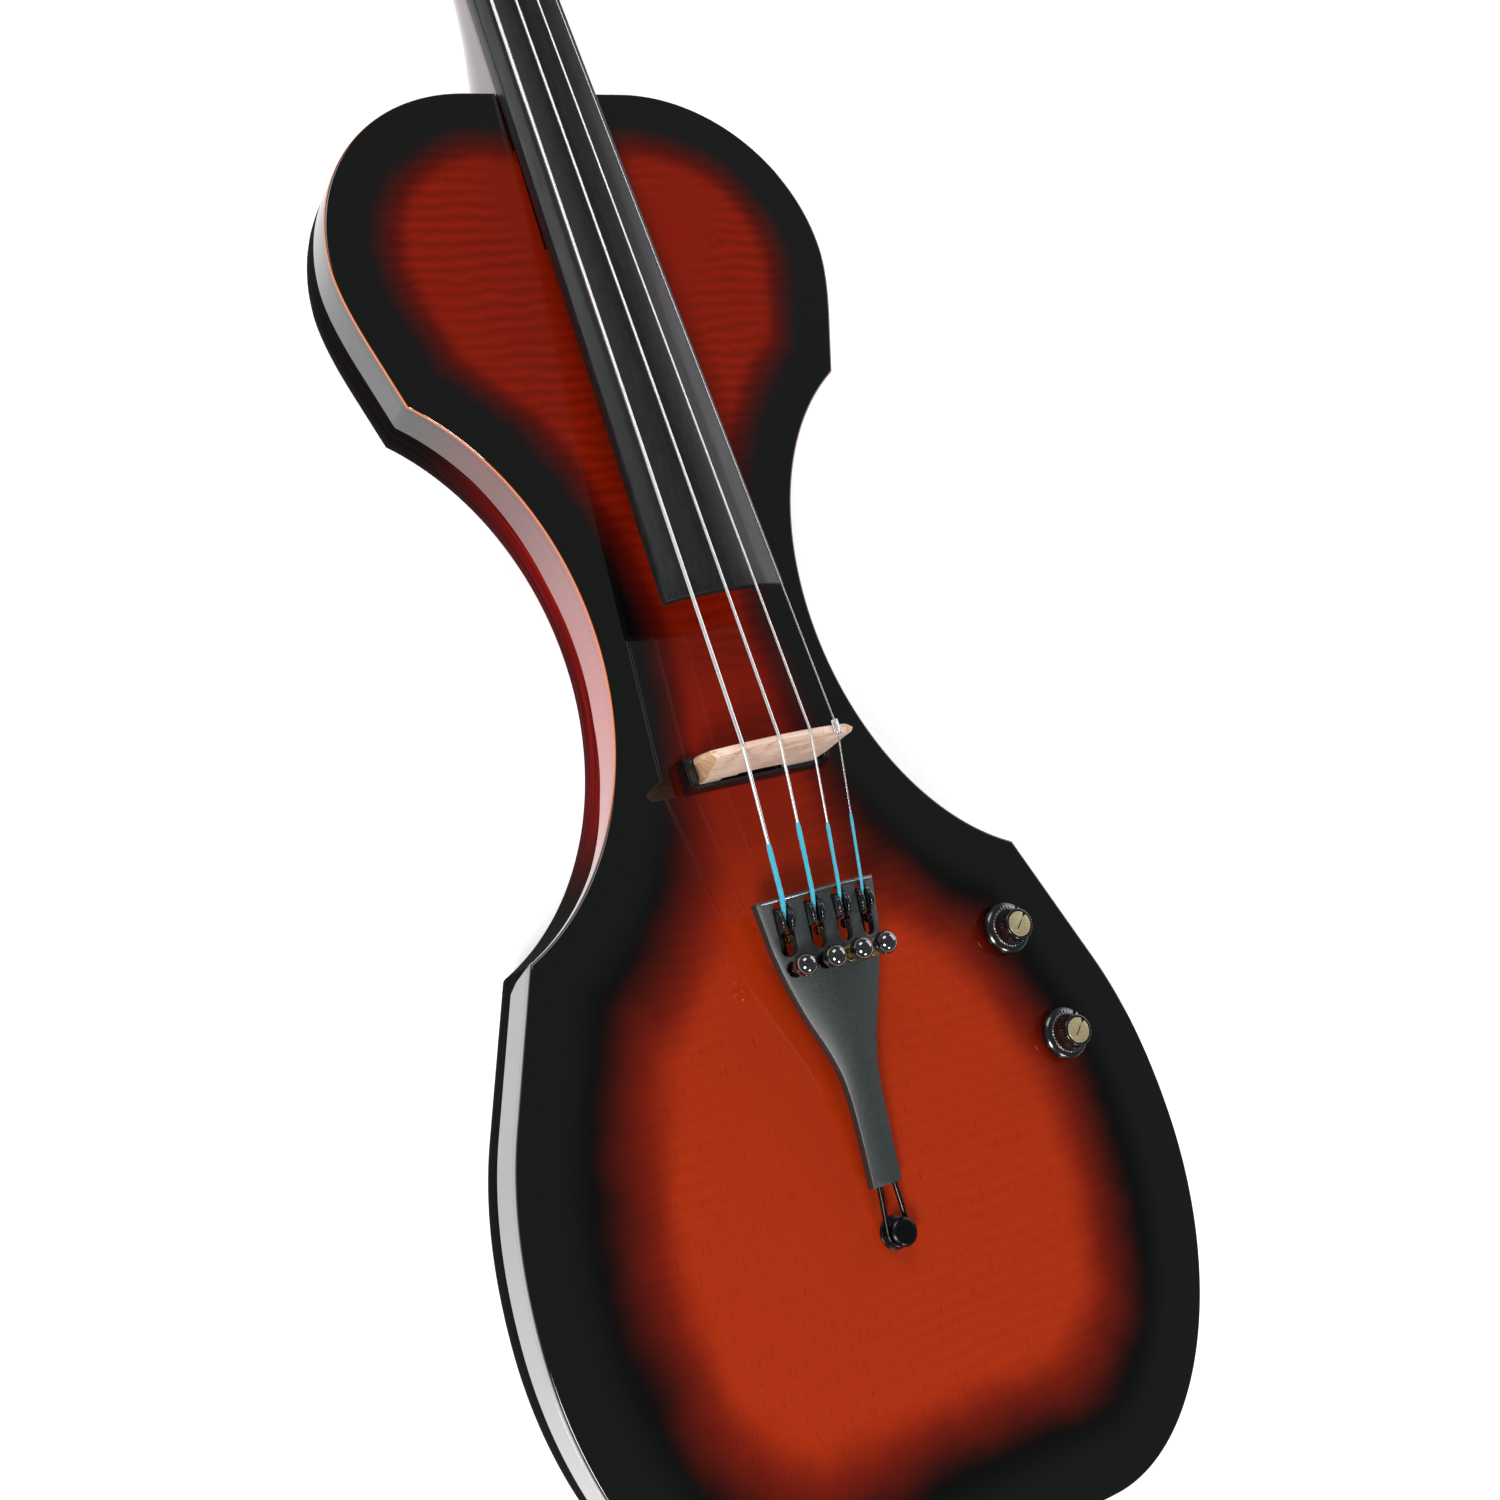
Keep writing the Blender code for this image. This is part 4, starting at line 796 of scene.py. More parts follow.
def make_body():
    rounding = [(EDGE_ROUND * (1 - cos_deg(a)), TOP - EDGE_ROUND * (1 - sin_deg(a)))
            for a in (0, 15, 30, 45, 60, 75, 90)]
    levels = [(0.0, BACK_OF_TOP), (0.0, BACK_OF_TOP + 0.001)] + rounding
    levels += [(d * MM, TOP) for d in TOP_DEPTHS]
    top = loft([set_in(d, z) for d, z in levels])
    # cuts across the flat middle, so that the distance to the outline can vary there
    cuts = [((0, y * MM, 0), (0, 1, 0)) for y in range(-280, 0, 20)]
    cuts += [((x * MM, 0, 0), (1, 0, 0)) for x in range(-100, 101, 20)]
    for place, normal in cuts:
        whole = top.verts[:] + top.edges[:] + top.faces[:]
        bmesh.ops.bisect_plane(top, geom=whole, plane_co=place, plane_no=normal)
    top = bare_object("top_face", top)
    holes = [bar(0.0046, 0.0, 0.02, (x, y, TOP - 0.01), "Z", 32) for x, y in KNOBS.values()]
    holes.append(bar(0.002, 0.0, 0.02, (0, 0.0035, TOP - 0.01), "Z", 16))
    bed = block((-0.0247, 0.3, 0.0578), (0.0247, HEEL_Y + 0.01, TOP + 0.01))
    carve(top, neck_pocket(), bed, *holes)
    rim_attribute(top, RIM_REACH)
    top = piece("top_face", top, "top", ["top_plate"], smooth=40)
    top.data.materials.append(LOOKS["lacquer"])
    for face in top.data.polygons:
        face.material_index = 1 if face.center.z < TOP - EDGE_ROUND else 0

    top_of_side = BACK_OF_TOP - 0.05 * MM
    rings = [set_in(0.15 * MM, top_of_side), set_in(0.0, top_of_side - 0.1 * MM)]
    rings.append([(x, y, roll_line(y)) for x, y, z in set_in(0.0, 0.0)])
    for step in range(17):
        angle = math.pi / 2 * step / 16
        rings.append(set_in(ROLL * (1 - math.cos(angle)), SIDE_FOOT * (1 - math.sin(angle))))
    rings += [set_in(d, 0.0) for d in SHELL_DEPTHS]
    shell = bare_object("body_shell", loft(rings))
    carve(shell, neck_pocket(), block(*CONTROL_CHAMBER), block(*CHAMBER_OPENING), block(*COVER_RECESS),
          block(*BATTERY_WELL), bar(0.0093, 0.0, 0.035, (0, TAIL_Y - 0.005, PORT_Z), "Y"),
          bar(ROD_RADIUS + 0.0006, 0.0, 0.47, (0, TAIL_Y - 0.005, PORT_Z), "Y", 32),
          bar(0.0073, 0.0, 0.05, (JACK_X, TAIL_Y - 0.005, PORT_Z), "Y"), block(*WIRE_CHANNEL))
    rim_attribute(shell, SHELL_DEPTHS[-1])
    shell = piece("body_shell", shell, "lacquer", ["body"], smooth=40)
    shell.data.materials.append(LOOKS["roll"])
    for face in shell.data.polygons:
        corners = [shell.data.vertices[i].co for i in face.vertices]
        under_line = all(co.z < roll_line(co.y) + 0.02 * MM for co in corners)
        face.material_index = 1 if under_line and max(co.z for co in corners) > 0.2 * MM else 0


# ---------------------------------------------------------------- fingerboard and neck
def along_board(y, index):
    return between(BOARD_END[index], BOARD_NUT[index], (y - BOARD_END[0]) / (BOARD_NUT[0] - BOARD_END[0]))


def board_surface(x, y):
    return along_board(y, 2) - BOARD_RADIUS + math.sqrt(BOARD_RADIUS ** 2 - x ** 2)


def make_fingerboard():
    rings = []
    hollow_end, solid_start = 0.301, 0.3025
    places = [BOARD_LOW.y + (hollow_end - BOARD_LOW.y) * i / 22 for i in range(23)]
    places += [solid_start] + [between(solid_start, BOARD_HIGH.y, i / 26) for i in range(1, 27)]
    for y in places:
        half, under = along_board(y, 1), along_board(y, 3)
        hollow = between(0.0065, 0.0045, (y - BOARD_LOW.y) / 0.23) if y < solid_start else 0.0
        ring = []
        for i in range(41):
            x = half * (1 - 2 * i / 40)
            ring.append((x, y, board_surface(x, y)))
        for i in range(21):
            x = -half + 2 * half * i / 20
            share = max(0.0, 1 - (abs(x) / (half - 0.9 * MM)) ** 2.4) if abs(x) < half - 0.9 * MM else 0.0
            ring.append((x, y, under + hollow * share))
        rings.append(ring)
    piece("fingerboard_face", loft(rings), "board", ["fingerboard"], bevel=0.45 * MM, segments=3,
          smooth=50)


def neck_section(y, half, high, low):
    straight = high - 0.0032
    ring = [(half, y, high), (half + 0.0001, y, high - 0.0016), (half, y, straight)]
    for step in range(1, 24):
        angle = math.pi * step / 24
        ring.append((half * math.cos(angle), y, straight - (straight - low) * math.sin(angle) ** 0.8))
    return ring + [(-half, y, straight), (-half - 0.0001, y, high - 0.0016), (-half, y, high)]


def scroll_turn(side):
    """One side's volute: a ribbon that winds in while it steps outwards, with a fluted back."""
    turns, start = 2.35, math.radians(-128)
    shrink = math.log(SCROLL_R / 0.0056) / (turns * 2 * math.pi)
    rings = []
    steps = 132
    for step in range(steps + 1):
        angle = turns * 2 * math.pi * step / steps
        share = step / steps
        outer = SCROLL_R * math.exp(-shrink * angle)
        inner = max(0.0008, SCROLL_R * math.exp(-shrink * (angle + 2 * math.pi)) * 1.02)
        width = 0.0108 + 0.0125 * share ** 0.85
        edge = between(0.0016, 0.0009, share)
        radial = Vector((0, math.cos(start + angle), math.sin(start + angle)))
        centre = Vector((0, SCROLL_Y, SCROLL_Z))
        section = ((inner, 0.0), (outer - 0.0016, 0.0), (outer - 0.0004, width * 0.3),
                (outer - 0.0014, width * 0.62), (outer, width - edge),
                (outer - edge * 0.3, width - edge * 0.3), (outer - edge, width),
                (between(outer, inner, 0.45), width - edge * 0.9), (inner + edge * 0.5, width - edge * 0.2),
                (inner, width - edge))
        rings.append([centre + radial * r + Vector((side * x, 0, 0)) for r, x in section])
    return loft(rings)


def make_neck():
    tenon = []
    for y in (0.2503, 0.252, 0.29, HEEL_Y + 0.0003):
        high, half = along_board(y, 3) - 0.0003, 0.0226
        ring = [(half, y, high), (half, y, high - 0.004)] + [(half * (1 - 2 * i / 12), y, 0.0218)
                for i in range(0, 13)]
        tenon.append(ring + [(-half, y, high - 0.004), (-half, y, high)])
    neck = bare_object("neck_wood", loft(tenon))
    lows = ((HEEL_Y, 0.005), (0.344, 0.0066), (0.36, 0.01), (0.378, 0.0185), (0.4, 0.0235), (0.43, 0.0245),
            (0.495, 0.0212), (0.56, 0.0175), (0.62, 0.014), (0.66, 0.0115), (0.68, 0.01), (0.6945, 0.0055))
    handle = [neck_section(y, along_board(y, 1) - 0.0002, along_board(y, 3) - 0.0003, low)
            for y, low in smooth_table(lows, 6)]
    rows = ((0.689, 0.0168, 0.0305, 0.0042), (0.6965, 0.0194, 0.0325, 0.0026),
            (0.712, 0.0192, 0.0325, 0.0025), (0.736, 0.0184, 0.0325, 0.0025),
            (0.76, 0.0175, 0.0325, 0.0025), (0.786, 0.016, 0.0319, 0.003), (0.812, 0.0144, 0.0309, 0.0042),
            (0.836, 0.013, 0.03, 0.006), (0.85, 0.0116, 0.029, 0.0072))
    walls = []
    for y, half, high, low in smooth_table(rows, 5):
        ring = [(half, y, high), (half, y, low + 0.005)]
        ring += [(half - 0.005 * (1 - cos_deg(a)), y, low + 0.005 * (1 - sin_deg(a)))
                for a in (22, 45, 68, 90)]
        walls.append(ring + [(-x, y, z) for x, y, z in reversed(ring)])
    carve(neck, loft(handle), loft(walls), operation="UNION")
    hollow = []
    for y, half in ((BOX_Y + 0.0045, 0.0132), (BOX_Y + 0.0065, 0.0136), (0.824, 0.0085), (0.828, 0.007)):
        hollow.append([(half, y, 0.05), (half, y, 0.0115), (half - 0.002, y, 0.0096),
                (-half + 0.002, y, 0.0096), (-half, y, 0.0115), (-half, y, 0.05)])
    bores = [bar(0.0054, -0.03, 0.03, (0, y, PEG_Z), "X", 32) for _, y in PEGS.values()]
    carve(neck, loft(hollow), *bores)
    piece("neck_wood", neck, "neck", ["neck"], bevel=0.5 * MM, smooth=40)
    for side, name in ((1, "treble"), (-1, "bass")):
        piece("scroll_" + name, scroll_turn(side), "neck", smooth=50)
        eye = rounded([(0.0006, 0.0), (0.0052, 0.0), (0.0052, 0.0215), (0.0044, 0.0238), (0.0006, 0.0244)],
                0.8 * MM)
        piece("scroll_eye_" + name, turned(eye, (0, SCROLL_Y, SCROLL_Z), "X" if side > 0 else "-X", 40),
              "neck")


def make_nut():
    """Ebony, rounded over."""
    rings = []
    half, low, base = 0.01575, TOP - 0.027, STRING_LENGTH
    for y, drop in ((0.0, 0.0009), (0.0006, 0.0002), (0.0016, 0.0), (0.0035, 0.0003), (0.005, 0.0012),
            (0.0058, 0.0024), (0.006, 0.0034)):
        ring = [(-half, base + y, low)]
        for i in range(65):
            x = -half + 2 * half * i / 64
            z = board_surface(x, STRING_LENGTH) - 0.0004 - drop
            ring.append((x, base + y, z))
        rings.append(ring + [(half, base + y, low)])
    piece("nut_block", loft(rings), "ebony", ["nut"], smooth=45)


def make_peg(name):
    side, y = PEGS[name]
    if y < 0.76:
        wall = between(0.0195, 0.0175, (y - BOX_Y) / 0.0635)
    else:
        wall = between(0.0175, 0.013, (y - 0.76) / 0.076)
    axis = "X" if side > 0 else "-X"
    profile = [(0.0008, -wall - 0.002), (0.004, -wall - 0.002), (0.0045, -wall - 0.0014)]
    profile += [(radius, wall + out) for radius, out in ((0.005, 0.001), (0.0074, 0.0012), (0.0078, 0.0018),
            (0.0078, 0.0028), (0.0068, 0.0033), (0.0076, 0.0039), (0.0074, 0.0047), (0.0056, 0.0062),
            (0.0049, 0.009), (0.0048, 0.013), (0.0054, 0.0165), (0.006, 0.02), (0.005, 0.023))]
    shape = turned(profile, (0, y, PEG_Z), axis, 40)
    rows = smooth_table(((0.015, 0.0042, 0.0036), (0.0175, 0.0066, 0.004), (0.0205, 0.0105, 0.0043),
            (0.026, 0.0144, 0.0047), (0.033, 0.0148, 0.0046), (0.0385, 0.0112, 0.0041),
            (0.0412, 0.0062, 0.0032), (0.042, 0.0016, 0.0012)), 4)
    rings = []
    for out, reach, thick in rows:
        ring = []
        for a in range(0, 360, 9):
            c, s = cos_deg(a), sin_deg(a)
            dish = 1 - 0.38 * max(0.0, 1 - (c / 0.85) ** 2) * min(1.0, reach / 0.0148) ** 2
            ring.append((side * (wall + out), y + reach * c, PEG_Z + thick * s * dish))
        rings.append(ring)
    loft(rings, shape=shape)
    loose = "peg_" + name
    piece("peg_turned_" + name, shape, "ebony", [loose], body=loose, smooth=40)
    cap = turned(rounded([(0.0004, 0.0), (0.0017, 0.0), (0.0017, 0.0006), (0.0012, 0.0011),
            (0.0002, 0.0013)], 0.2 * MM), (side * (wall + 0.0412), y, PEG_Z), axis, 24)
    piece("peg_pin_" + name, cap, "brass", body=loose)


# ---------------------------------------------------------------- bridge, pickup and tailpiece
def string_x(name, spacing):
    return (NAMES.index(name) - 1.5) * spacing


def bridge_top(x):
    radius, outer_string = 0.0699, 0.02375
    arch = math.sqrt(radius ** 2 - x ** 2) - math.sqrt(radius ** 2 - outer_string ** 2)
    return TOP + 0.039 + arch - 0.04 * (x + outer_string)


def bridge_outline(left_cut, right_cut, drop):
    """Seen from the tail. The cuts pull its ends in for the facets, and drop lowers its top edge."""
    foot, step, arch = TOP + 0.0033, TOP + 0.0058, TOP + 0.0076
    points = [(-0.0284, foot), (-0.0186, foot), (-0.0182, step), (-0.0112, step + 0.0003), (-0.0106, arch),
            (0.001, arch + 0.0006), (0.0126, arch), (0.0131, foot), (0.029, foot),
            (0.03 - right_cut * 0.3, TOP + 0.008), (0.0316 - right_cut * 0.5, TOP + 0.0125),
            (0.0338 - right_cut * 0.8, TOP + 0.0195), (0.0354 - right_cut, TOP + 0.0245),
            (0.0367 - right_cut, bridge_top(0.0367) - 0.0012),
            (0.0365 - right_cut, bridge_top(0.0365) - drop)]
    right, left = 0.0365 - right_cut, -0.0356 + left_cut * 0.35
    points += [(between(right, left, i / 28), bridge_top(between(right, left, i / 28)) - drop)
            for i in range(1, 29)]
    return points + [(-0.0374 + left_cut, TOP + 0.0265), (-0.0362 + left_cut, TOP + 0.0189),
            (-0.0314 + left_cut * 0.6, TOP + 0.012), (-0.0294 + left_cut * 0.3, TOP + 0.008)]


def make_bridge():
    rings = []
    for depth, left_cut, right_cut, drop in ((0.0, 0.0062, 0.001, 0.0003), (0.62, 0.0, 0.0, 0.0),
            (0.85, 0.0, 0.0, 0.0), (1.0, 0.001, 0.001, 0.0003)):
        ring = []
        for x, z in bridge_outline(left_cut, right_cut, drop):
            rise = z - TOP - 0.0075
            pinch = 1.0 - 0.65 * max(0.0, min(1.0, (x - 0.032) / 0.0047))
            ring.append((x, between(-0.0049 + 0.115 * rise, 0.0044 - 0.094 * rise, depth) * pinch, z))
        rings.append(ring)
    bridge = carve(loft(rings), sleeve(0.0018, -0.006, 0.006))
    bridge = piece("bridge_wood", bridge, "bridge", ["bridge"], bevel=0.25 * MM, smooth=30)
    bridge.data.materials.append(LOOKS["bridge_end"])
    for face in bridge.data.polygons:
        face.material_index = 1 if abs(face.normal.x) > 0.45 or face.normal.z < -0.5 else 0

    profile = [(y, TOP + rise) for y, rise in ((-0.0086, 0.0003), (-0.0083, 0.0014), (-0.007, 0.0038),
            (-0.0062, 0.0041), (0.0054, 0.0055), (0.0062, 0.005), (0.0064, 0.004), (0.0064, 0.0003))]
    base = bare_object("pickup_housing", prism(profile, "X", -0.035, 0.035))
    ends = []
    for low, high in ((-0.035, -0.0312), (0.0318, 0.035)):
        ends.append(loft([[(low, y, z), (high, y, z), (high, y2, z), (low, y2, z)]
                for y, y2, z in ((-0.008, 0.006, TOP + 0.002), (-0.0066, 0.006, TOP + 0.0068),
                        (-0.006, 0.0056, TOP + 0.0082))]))
    carve(base, *ends, operation="UNION")
    carve(base, block((-0.0295, -0.0058, TOP + 0.0016), (0.0305, 0.0053, TOP + 0.01)),
          bar(0.002, 0.0, 0.02, (0, 0.0035, TOP - 0.01), "Z", 16))
    piece("pickup_housing", base, "pickup", ["pickup_base"], bevel=0.45 * MM, segments=3,
          smooth=50)
    for name, x in (("left", -0.0332), ("right", 0.0335)):
        frame_ring = [(-0.0054, 0.0), (0.0046, 0.0), (0.0046, 0.0007), (-0.0054, 0.0007)]
        rim = loft([[(x + s * 0.0013, y, TOP + 0.0081 + z) for y, z in frame_ring] for s in (-1, 1)])
        rim = carve(rim, block((x - 0.0008, -0.0048, TOP + 0.0083), (x + 0.0008, 0.004, TOP + 0.01)))
        piece("pickup_rim_" + name, rim, "pickup", bevel=0.15 * MM)


def tail_crown(y):
    return TAIL_CROWN + TAIL_FALL * (y - TAIL_TOP_Y)


def tail_surface(x, y):
    for (y0, half0, arch0), (y1, half1, arch1) in zip(TAIL_STATIONS, TAIL_STATIONS[1:]):
        if y1 <= y <= y0:
            share = (y - y0) / (y1 - y0)
            return tail_crown(y) - between(arch0, arch1, share) * (x / between(half0, half1, share)) ** 2
    return tail_crown(y)


def stadium(x, half, top, end):
    steps = 14
    turn = [(half * math.cos(math.pi * a / steps), half * math.sin(math.pi * a / steps))
            for a in range(steps + 1)]
    return [(x + u, top - half + v) for u, v in turn] + [(x - u, end + half - v) for u, v in turn]


def make_tailpiece():
    rings = []
    for y, half, arch in smooth_table(TAIL_STATIONS, 5):
        top = [(half * (1 - i / 14), tail_crown(y) - arch * (1 - i / 14) ** 2) for i in range(29)]
        under = [(x, z - TAIL_THICK) for x, z in reversed(top)]
        rings.append([(x, y, z) for x, z in top + under])
    plate = bare_object("tailpiece_plate", loft(rings))
    cutters = []
    for name in NAMES:
        x = string_x(name, TAIL_SPACING)
        cutters.append(prism(stadium(x, SLOT_HALF, SLOT_TOP_Y + SLOT_HALF, SLOT_END_Y), "Z", TOP + 0.008,
                TOP + 0.04))
        cutters.append(bar(0.0021, 0.0, 0.03, (x, SCREW_Y, TOP + 0.01), "Z", 24))
    for side in (-1, 1):
        cutters.append(bar(0.0016, 0.0, 0.024, (side * 0.0038, TAIL_END_Y - 0.005, CORD_Z), "Y", 24))
    carve(plate, *cutters)
    for side in (-1, 1):
        a, b = sorted((side * 0.0236, side * 0.0256))
        lug = prism([(PIVOT_Y + 0.0024 * cos_deg(t), PIVOT_Z + 0.0024 * sin_deg(t))
                for t in range(180, 361, 15)] + [(PIVOT_Y + 0.0024, PIVOT_Z + 0.0052),
                        (PIVOT_Y - 0.0024, PIVOT_Z + 0.0052)], "X", a, b)
        carve(plate, lug, operation="UNION")
    plate = piece("tailpiece_plate", plate, "tailpiece", ["tailpiece"], bevel=0.35 * MM,
            smooth=40)
    fret = [(-0.0006, 0.0), (0.0006, 0.0), (0.00045, 0.0006), (0.0, 0.0009), (-0.00045, 0.0006)]
    rings = []
    for step in range(41):
        x = 0.0275 * (step / 20 - 1)
        rings.append([(x, SADDLE_Y + y, tail_surface(x, SADDLE_Y) + 0.0004 + z) for y, z in fret])
    piece("tailpiece_saddle", loft(rings), "saddle", ["tailpiece_fret"], bevel=0.1 * MM)


def make_tuner(name):
    """Fork of two round prongs and its arm on one axle, the ball it holds, and the screw with its head."""
    x = string_x(name, TAIL_SPACING)
    lobe_y, lobe_r = PIVOT_Y + 0.0006, 0.0054
    lobe_z = tail_surface(x, lobe_y) - LOBE_DEPTH
    lever = "lever_" + name
    outline = [(lobe_y + lobe_r * cos_deg(a), lobe_z + lobe_r * sin_deg(a)) for a in range(-40, 221, 10)]
    outline += [(PIVOT_Y - 0.0028, PIVOT_Z + 0.0012), (PIVOT_Y - 0.001, PIVOT_Z - 0.0026),
            (PIVOT_Y + 0.0026, PIVOT_Z - 0.0015)]
    arm = [(PIVOT_Y + 0.0024, PIVOT_Z + 0.003), (PIVOT_Y - 0.0028, PIVOT_Z + 0.003),
           (SCREW_Y + 0.003, TOP + 0.0127), (SCREW_Y - 0.0025, TOP + 0.0127),
           (SCREW_Y - 0.0025, TOP + 0.0108), (PIVOT_Y - 0.001, PIVOT_Z - 0.0026),
           (PIVOT_Y + 0.0024, PIVOT_Z - 0.0018)]
    fork = prism(arm, "X", x - 0.0026, x + 0.0026)
    for side in (-1, 1):
        a, b = sorted((x + side * 0.0013, x + side * 0.0031))
        prism(outline, "X", a, b, shape=fork)
    piece("fork_" + name, fork, "lever", ["tuner_lever_" + name], body=lever,
          bevel=0.35 * MM, segments=3, smooth=45)
    hub = turned(rounded([(0.0002, 0.0), (0.001, 0.0), (0.001, 0.006), (0.0002, 0.006)], 0.3 * MM),
            (x - 0.003, lobe_y + 0.0026, lobe_z - 0.0022), "X", 24)
    piece("fork_pin_" + name, hub, "black_chrome", body=lever)
    ball = turned(rounded([(0.0006, -0.0008), (0.001, -0.0012), (0.002, -0.0012), (0.002, 0.0012),
            (0.001, 0.0012), (0.0006, 0.0008)], 0.4 * MM), (x, lobe_y - 0.0078, lobe_z + 0.0005), "X", 32)
    piece("ball_" + name, ball, "dull_brass" if name in "CG" else "black_metal",
          ["string_ball_" + name], body=lever)

    low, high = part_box("tuner_head_" + name)[0].z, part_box("tuner_head_" + name)[1].z
    stem_low, stem_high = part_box("tuner_stem_" + name)[0].z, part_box("tuner_stem_" + name)[1].z
    threads = [(0.001, stem_low), (0.0016, stem_low + 0.0006)]
    count = 22
    for i in range(count * 2):
        threads.append((0.0016 if i % 2 else 0.00138,
                between(stem_low + 0.0008, low - 0.0005, i / (count * 2 - 1))))
    threads += [(0.0016, low - 0.0003), (0.001, low - 0.0003), (0.001, stem_high)]
    piece("screw_" + name, turned(threads, (x, SCREW_Y, 0), "Z", 24),
          "brass" if name in "DA" else "black_metal", ["tuner_stem_" + name],
          body="stem_" + name)
    middle = high - 0.0045
    dome = [(0.0016, low), (0.0028, low + 0.0001), (0.003, low + 0.0006), (0.0026, middle - 0.0044),
            (0.003, middle - 0.0037), (0.0043, middle - 0.0028)]
    for a in range(-30, 91, 8):
        dome.append((max(0.0002, 0.005 * cos_deg(a)), middle - 0.0001 + 0.0046 * sin_deg(a)))
    head = carve(turned(dome, (x, SCREW_Y, 0), "Z", 56),
            bar(0.0012, low - 0.001, low + 0.0033, (x, SCREW_Y, 0), "Z", 24))
    piece("tuner_knob_" + name, head, "black_chrome", ["tuner_head_" + name],
          body="head_" + name, smooth=50)
    washer = turned(rounded([(0.0023, 0.0), (0.0036, 0.0), (0.0036, 0.0007), (0.0023, 0.0007)], 0.2 * MM),
            (x, SCREW_Y, tail_surface(x, SCREW_Y) + 0.0001), "Z", 40)
    bush = "brass" if name in "DA" else "black_metal"
    piece("screw_bush_" + name, washer, bush)


def make_tail_end():
    axle = rounded([(0.0001, -0.0262), (0.0008, -0.0262), (0.0008, 0.0262), (0.0001, 0.0262)], 0.2 * MM)
    piece("axle_pin", turned(axle, (0, PIVOT_Y, PIVOT_Z), "X", 20), "steel", ["tuner_axle"])
    reach, low = 0.0052, CORD_Z - 0.002
    points = [(-0.0038, TAIL_END_Y + 0.015, CORD_Z), (-0.0038, TAIL_END_Y - 0.001, CORD_Z)]
    points += [(reach * cos_deg(a), ANCHOR_Y + reach * sin_deg(a), low) for a in range(170, 371, 10)]
    points += [(-x, y, z) for x, y, z in reversed(points[:2])]
    piece("cord_loop", sweep(bent_path(points, 0.003, 5, 0.002), 0.0011, 20), "black_metal",
          ["tail_cord"])
    button = rounded([(radius, TOP + rise) for radius, rise in ((0.0002, 0.0003), (0.007, 0.0003),
            (0.007, 0.0012), (0.004, 0.002), (0.0036, 0.003), (0.0036, 0.007), (0.0058, 0.0078),
            (0.0062, 0.0088), (0.005, 0.0098), (0.0002, 0.01))], 0.4 * MM)
    piece("anchor_button", turned(button, (0, ANCHOR_Y, 0), "Z", 48), "black_metal",
          ["tail_anchor"])


# ---------------------------------------------------------------- strings
def string_corners(name):
    """Corners of a string: fork, saddle, bridge, nut and peg."""
    diameter, height = STRINGS[name]
    radius = diameter / 2
    x_tail, x_bridge, x_nut = (string_x(name, s) for s in (TAIL_SPACING, BRIDGE_SPACING, NUT_SPACING))
    saddle = tail_surface(x_tail, SADDLE_Y) + 0.0019 + radius
    nut = NUT_STRING_Z + (0.0009 if name in "GD" else 0.0) + radius
    y_peg = PEGS[name][1]
    return [Vector(p) for p in ((x_tail, PIVOT_Y + 0.0004, tail_surface(x_tail, PIVOT_Y) + radius),
            (x_tail, SADDLE_Y, saddle), (x_bridge, 0.0, TOP + height), (x_nut, STRING_LENGTH + 0.0015, nut),
            (x_nut, STRING_LENGTH + 0.0075, nut - 0.0012),
            (x_nut * 0.8, y_peg - 0.002, PEG_Z + 0.0058 + radius))]


def sleeve(radius, start, end):
    """Bar along the A string where it crosses the bridge."""
    _, saddle, bridge, nut, *_ = string_corners("A")
    rings = []
    for y, towards in ((start, saddle), (start * 0.3, saddle), (0.0, nut), (end * 0.3, nut), (end, nut)):
        run = (towards - bridge) / (towards.y - bridge.y)
        rings.append([bridge + run * y + Vector((radius * cos_deg(a), 0, radius * sin_deg(a)))
                for a in range(0, 360, 12)])
    return loft(rings)


def make_string(name):
    diameter = STRINGS[name][0]
    corners = string_corners(name)
    run = (corners[1] - corners[2]) / (corners[1].y - corners[2].y)
    wound = bent_path([corners[2] + run * (SILK_START[name] - 0.004)] + corners[2:], 0.0025, 5, 0.012)
    look = "string_fine" if name == "A" else "string"
    piece("wire_" + name, sweep(wound, diameter * 0.43, 20), look, ["string_" + name])
    # thread over the end behind the bridge, thinning to a point in the fork
    thick = SILK_RADIUS[name]
    start = SILK_START[name]
    first = corners[2] + run * start
    lobe_z = tail_surface(corners[0].x, PIVOT_Y + 0.001) - 0.0018
    tail = bent_path([first, corners[1], corners[0],
            Vector((corners[0].x, PIVOT_Y - 0.0045, lobe_z + 0.0016)),
            Vector((corners[0].x, PIVOT_Y - 0.0062, lobe_z + 0.0008))], 0.0015, 4, 0.002)

    def thickness(point):
        swell = 1.0 + 0.1 * math.sin(point.y * 2100) * math.sin(point.y * 733 + NAMES.index(name))
        taper = max(0.3, min(1.0, (point.y - PIVOT_Y + 0.0045) / 0.0105))
        return thick * swell * taper * min(1.0, 0.75 + (start - point.y) / 0.002)

    piece("silk_" + name, sweep(tail, thickness, 18), "silk")
    # turns round the peg, which go with it
    side, y_peg = PEGS[name]
    x_end = corners[-1].x
    turns, pitch = 4.0, diameter * 1.15
    radius = 0.005 + diameter / 2
    coil = []
    for step in range(int(turns * 28) + 1):
        angle = 2 * math.pi * step / 28
        coil.append((x_end + side * pitch * step / 28 * (1 if side * x_end <= 0 else -1),
                y_peg - radius * math.sin(angle), PEG_Z + radius * math.cos(angle)))
    piece("peg_winding_" + name, sweep(coil, diameter / 2 * 0.98, 12), "string_fine",
          body="peg_" + name)


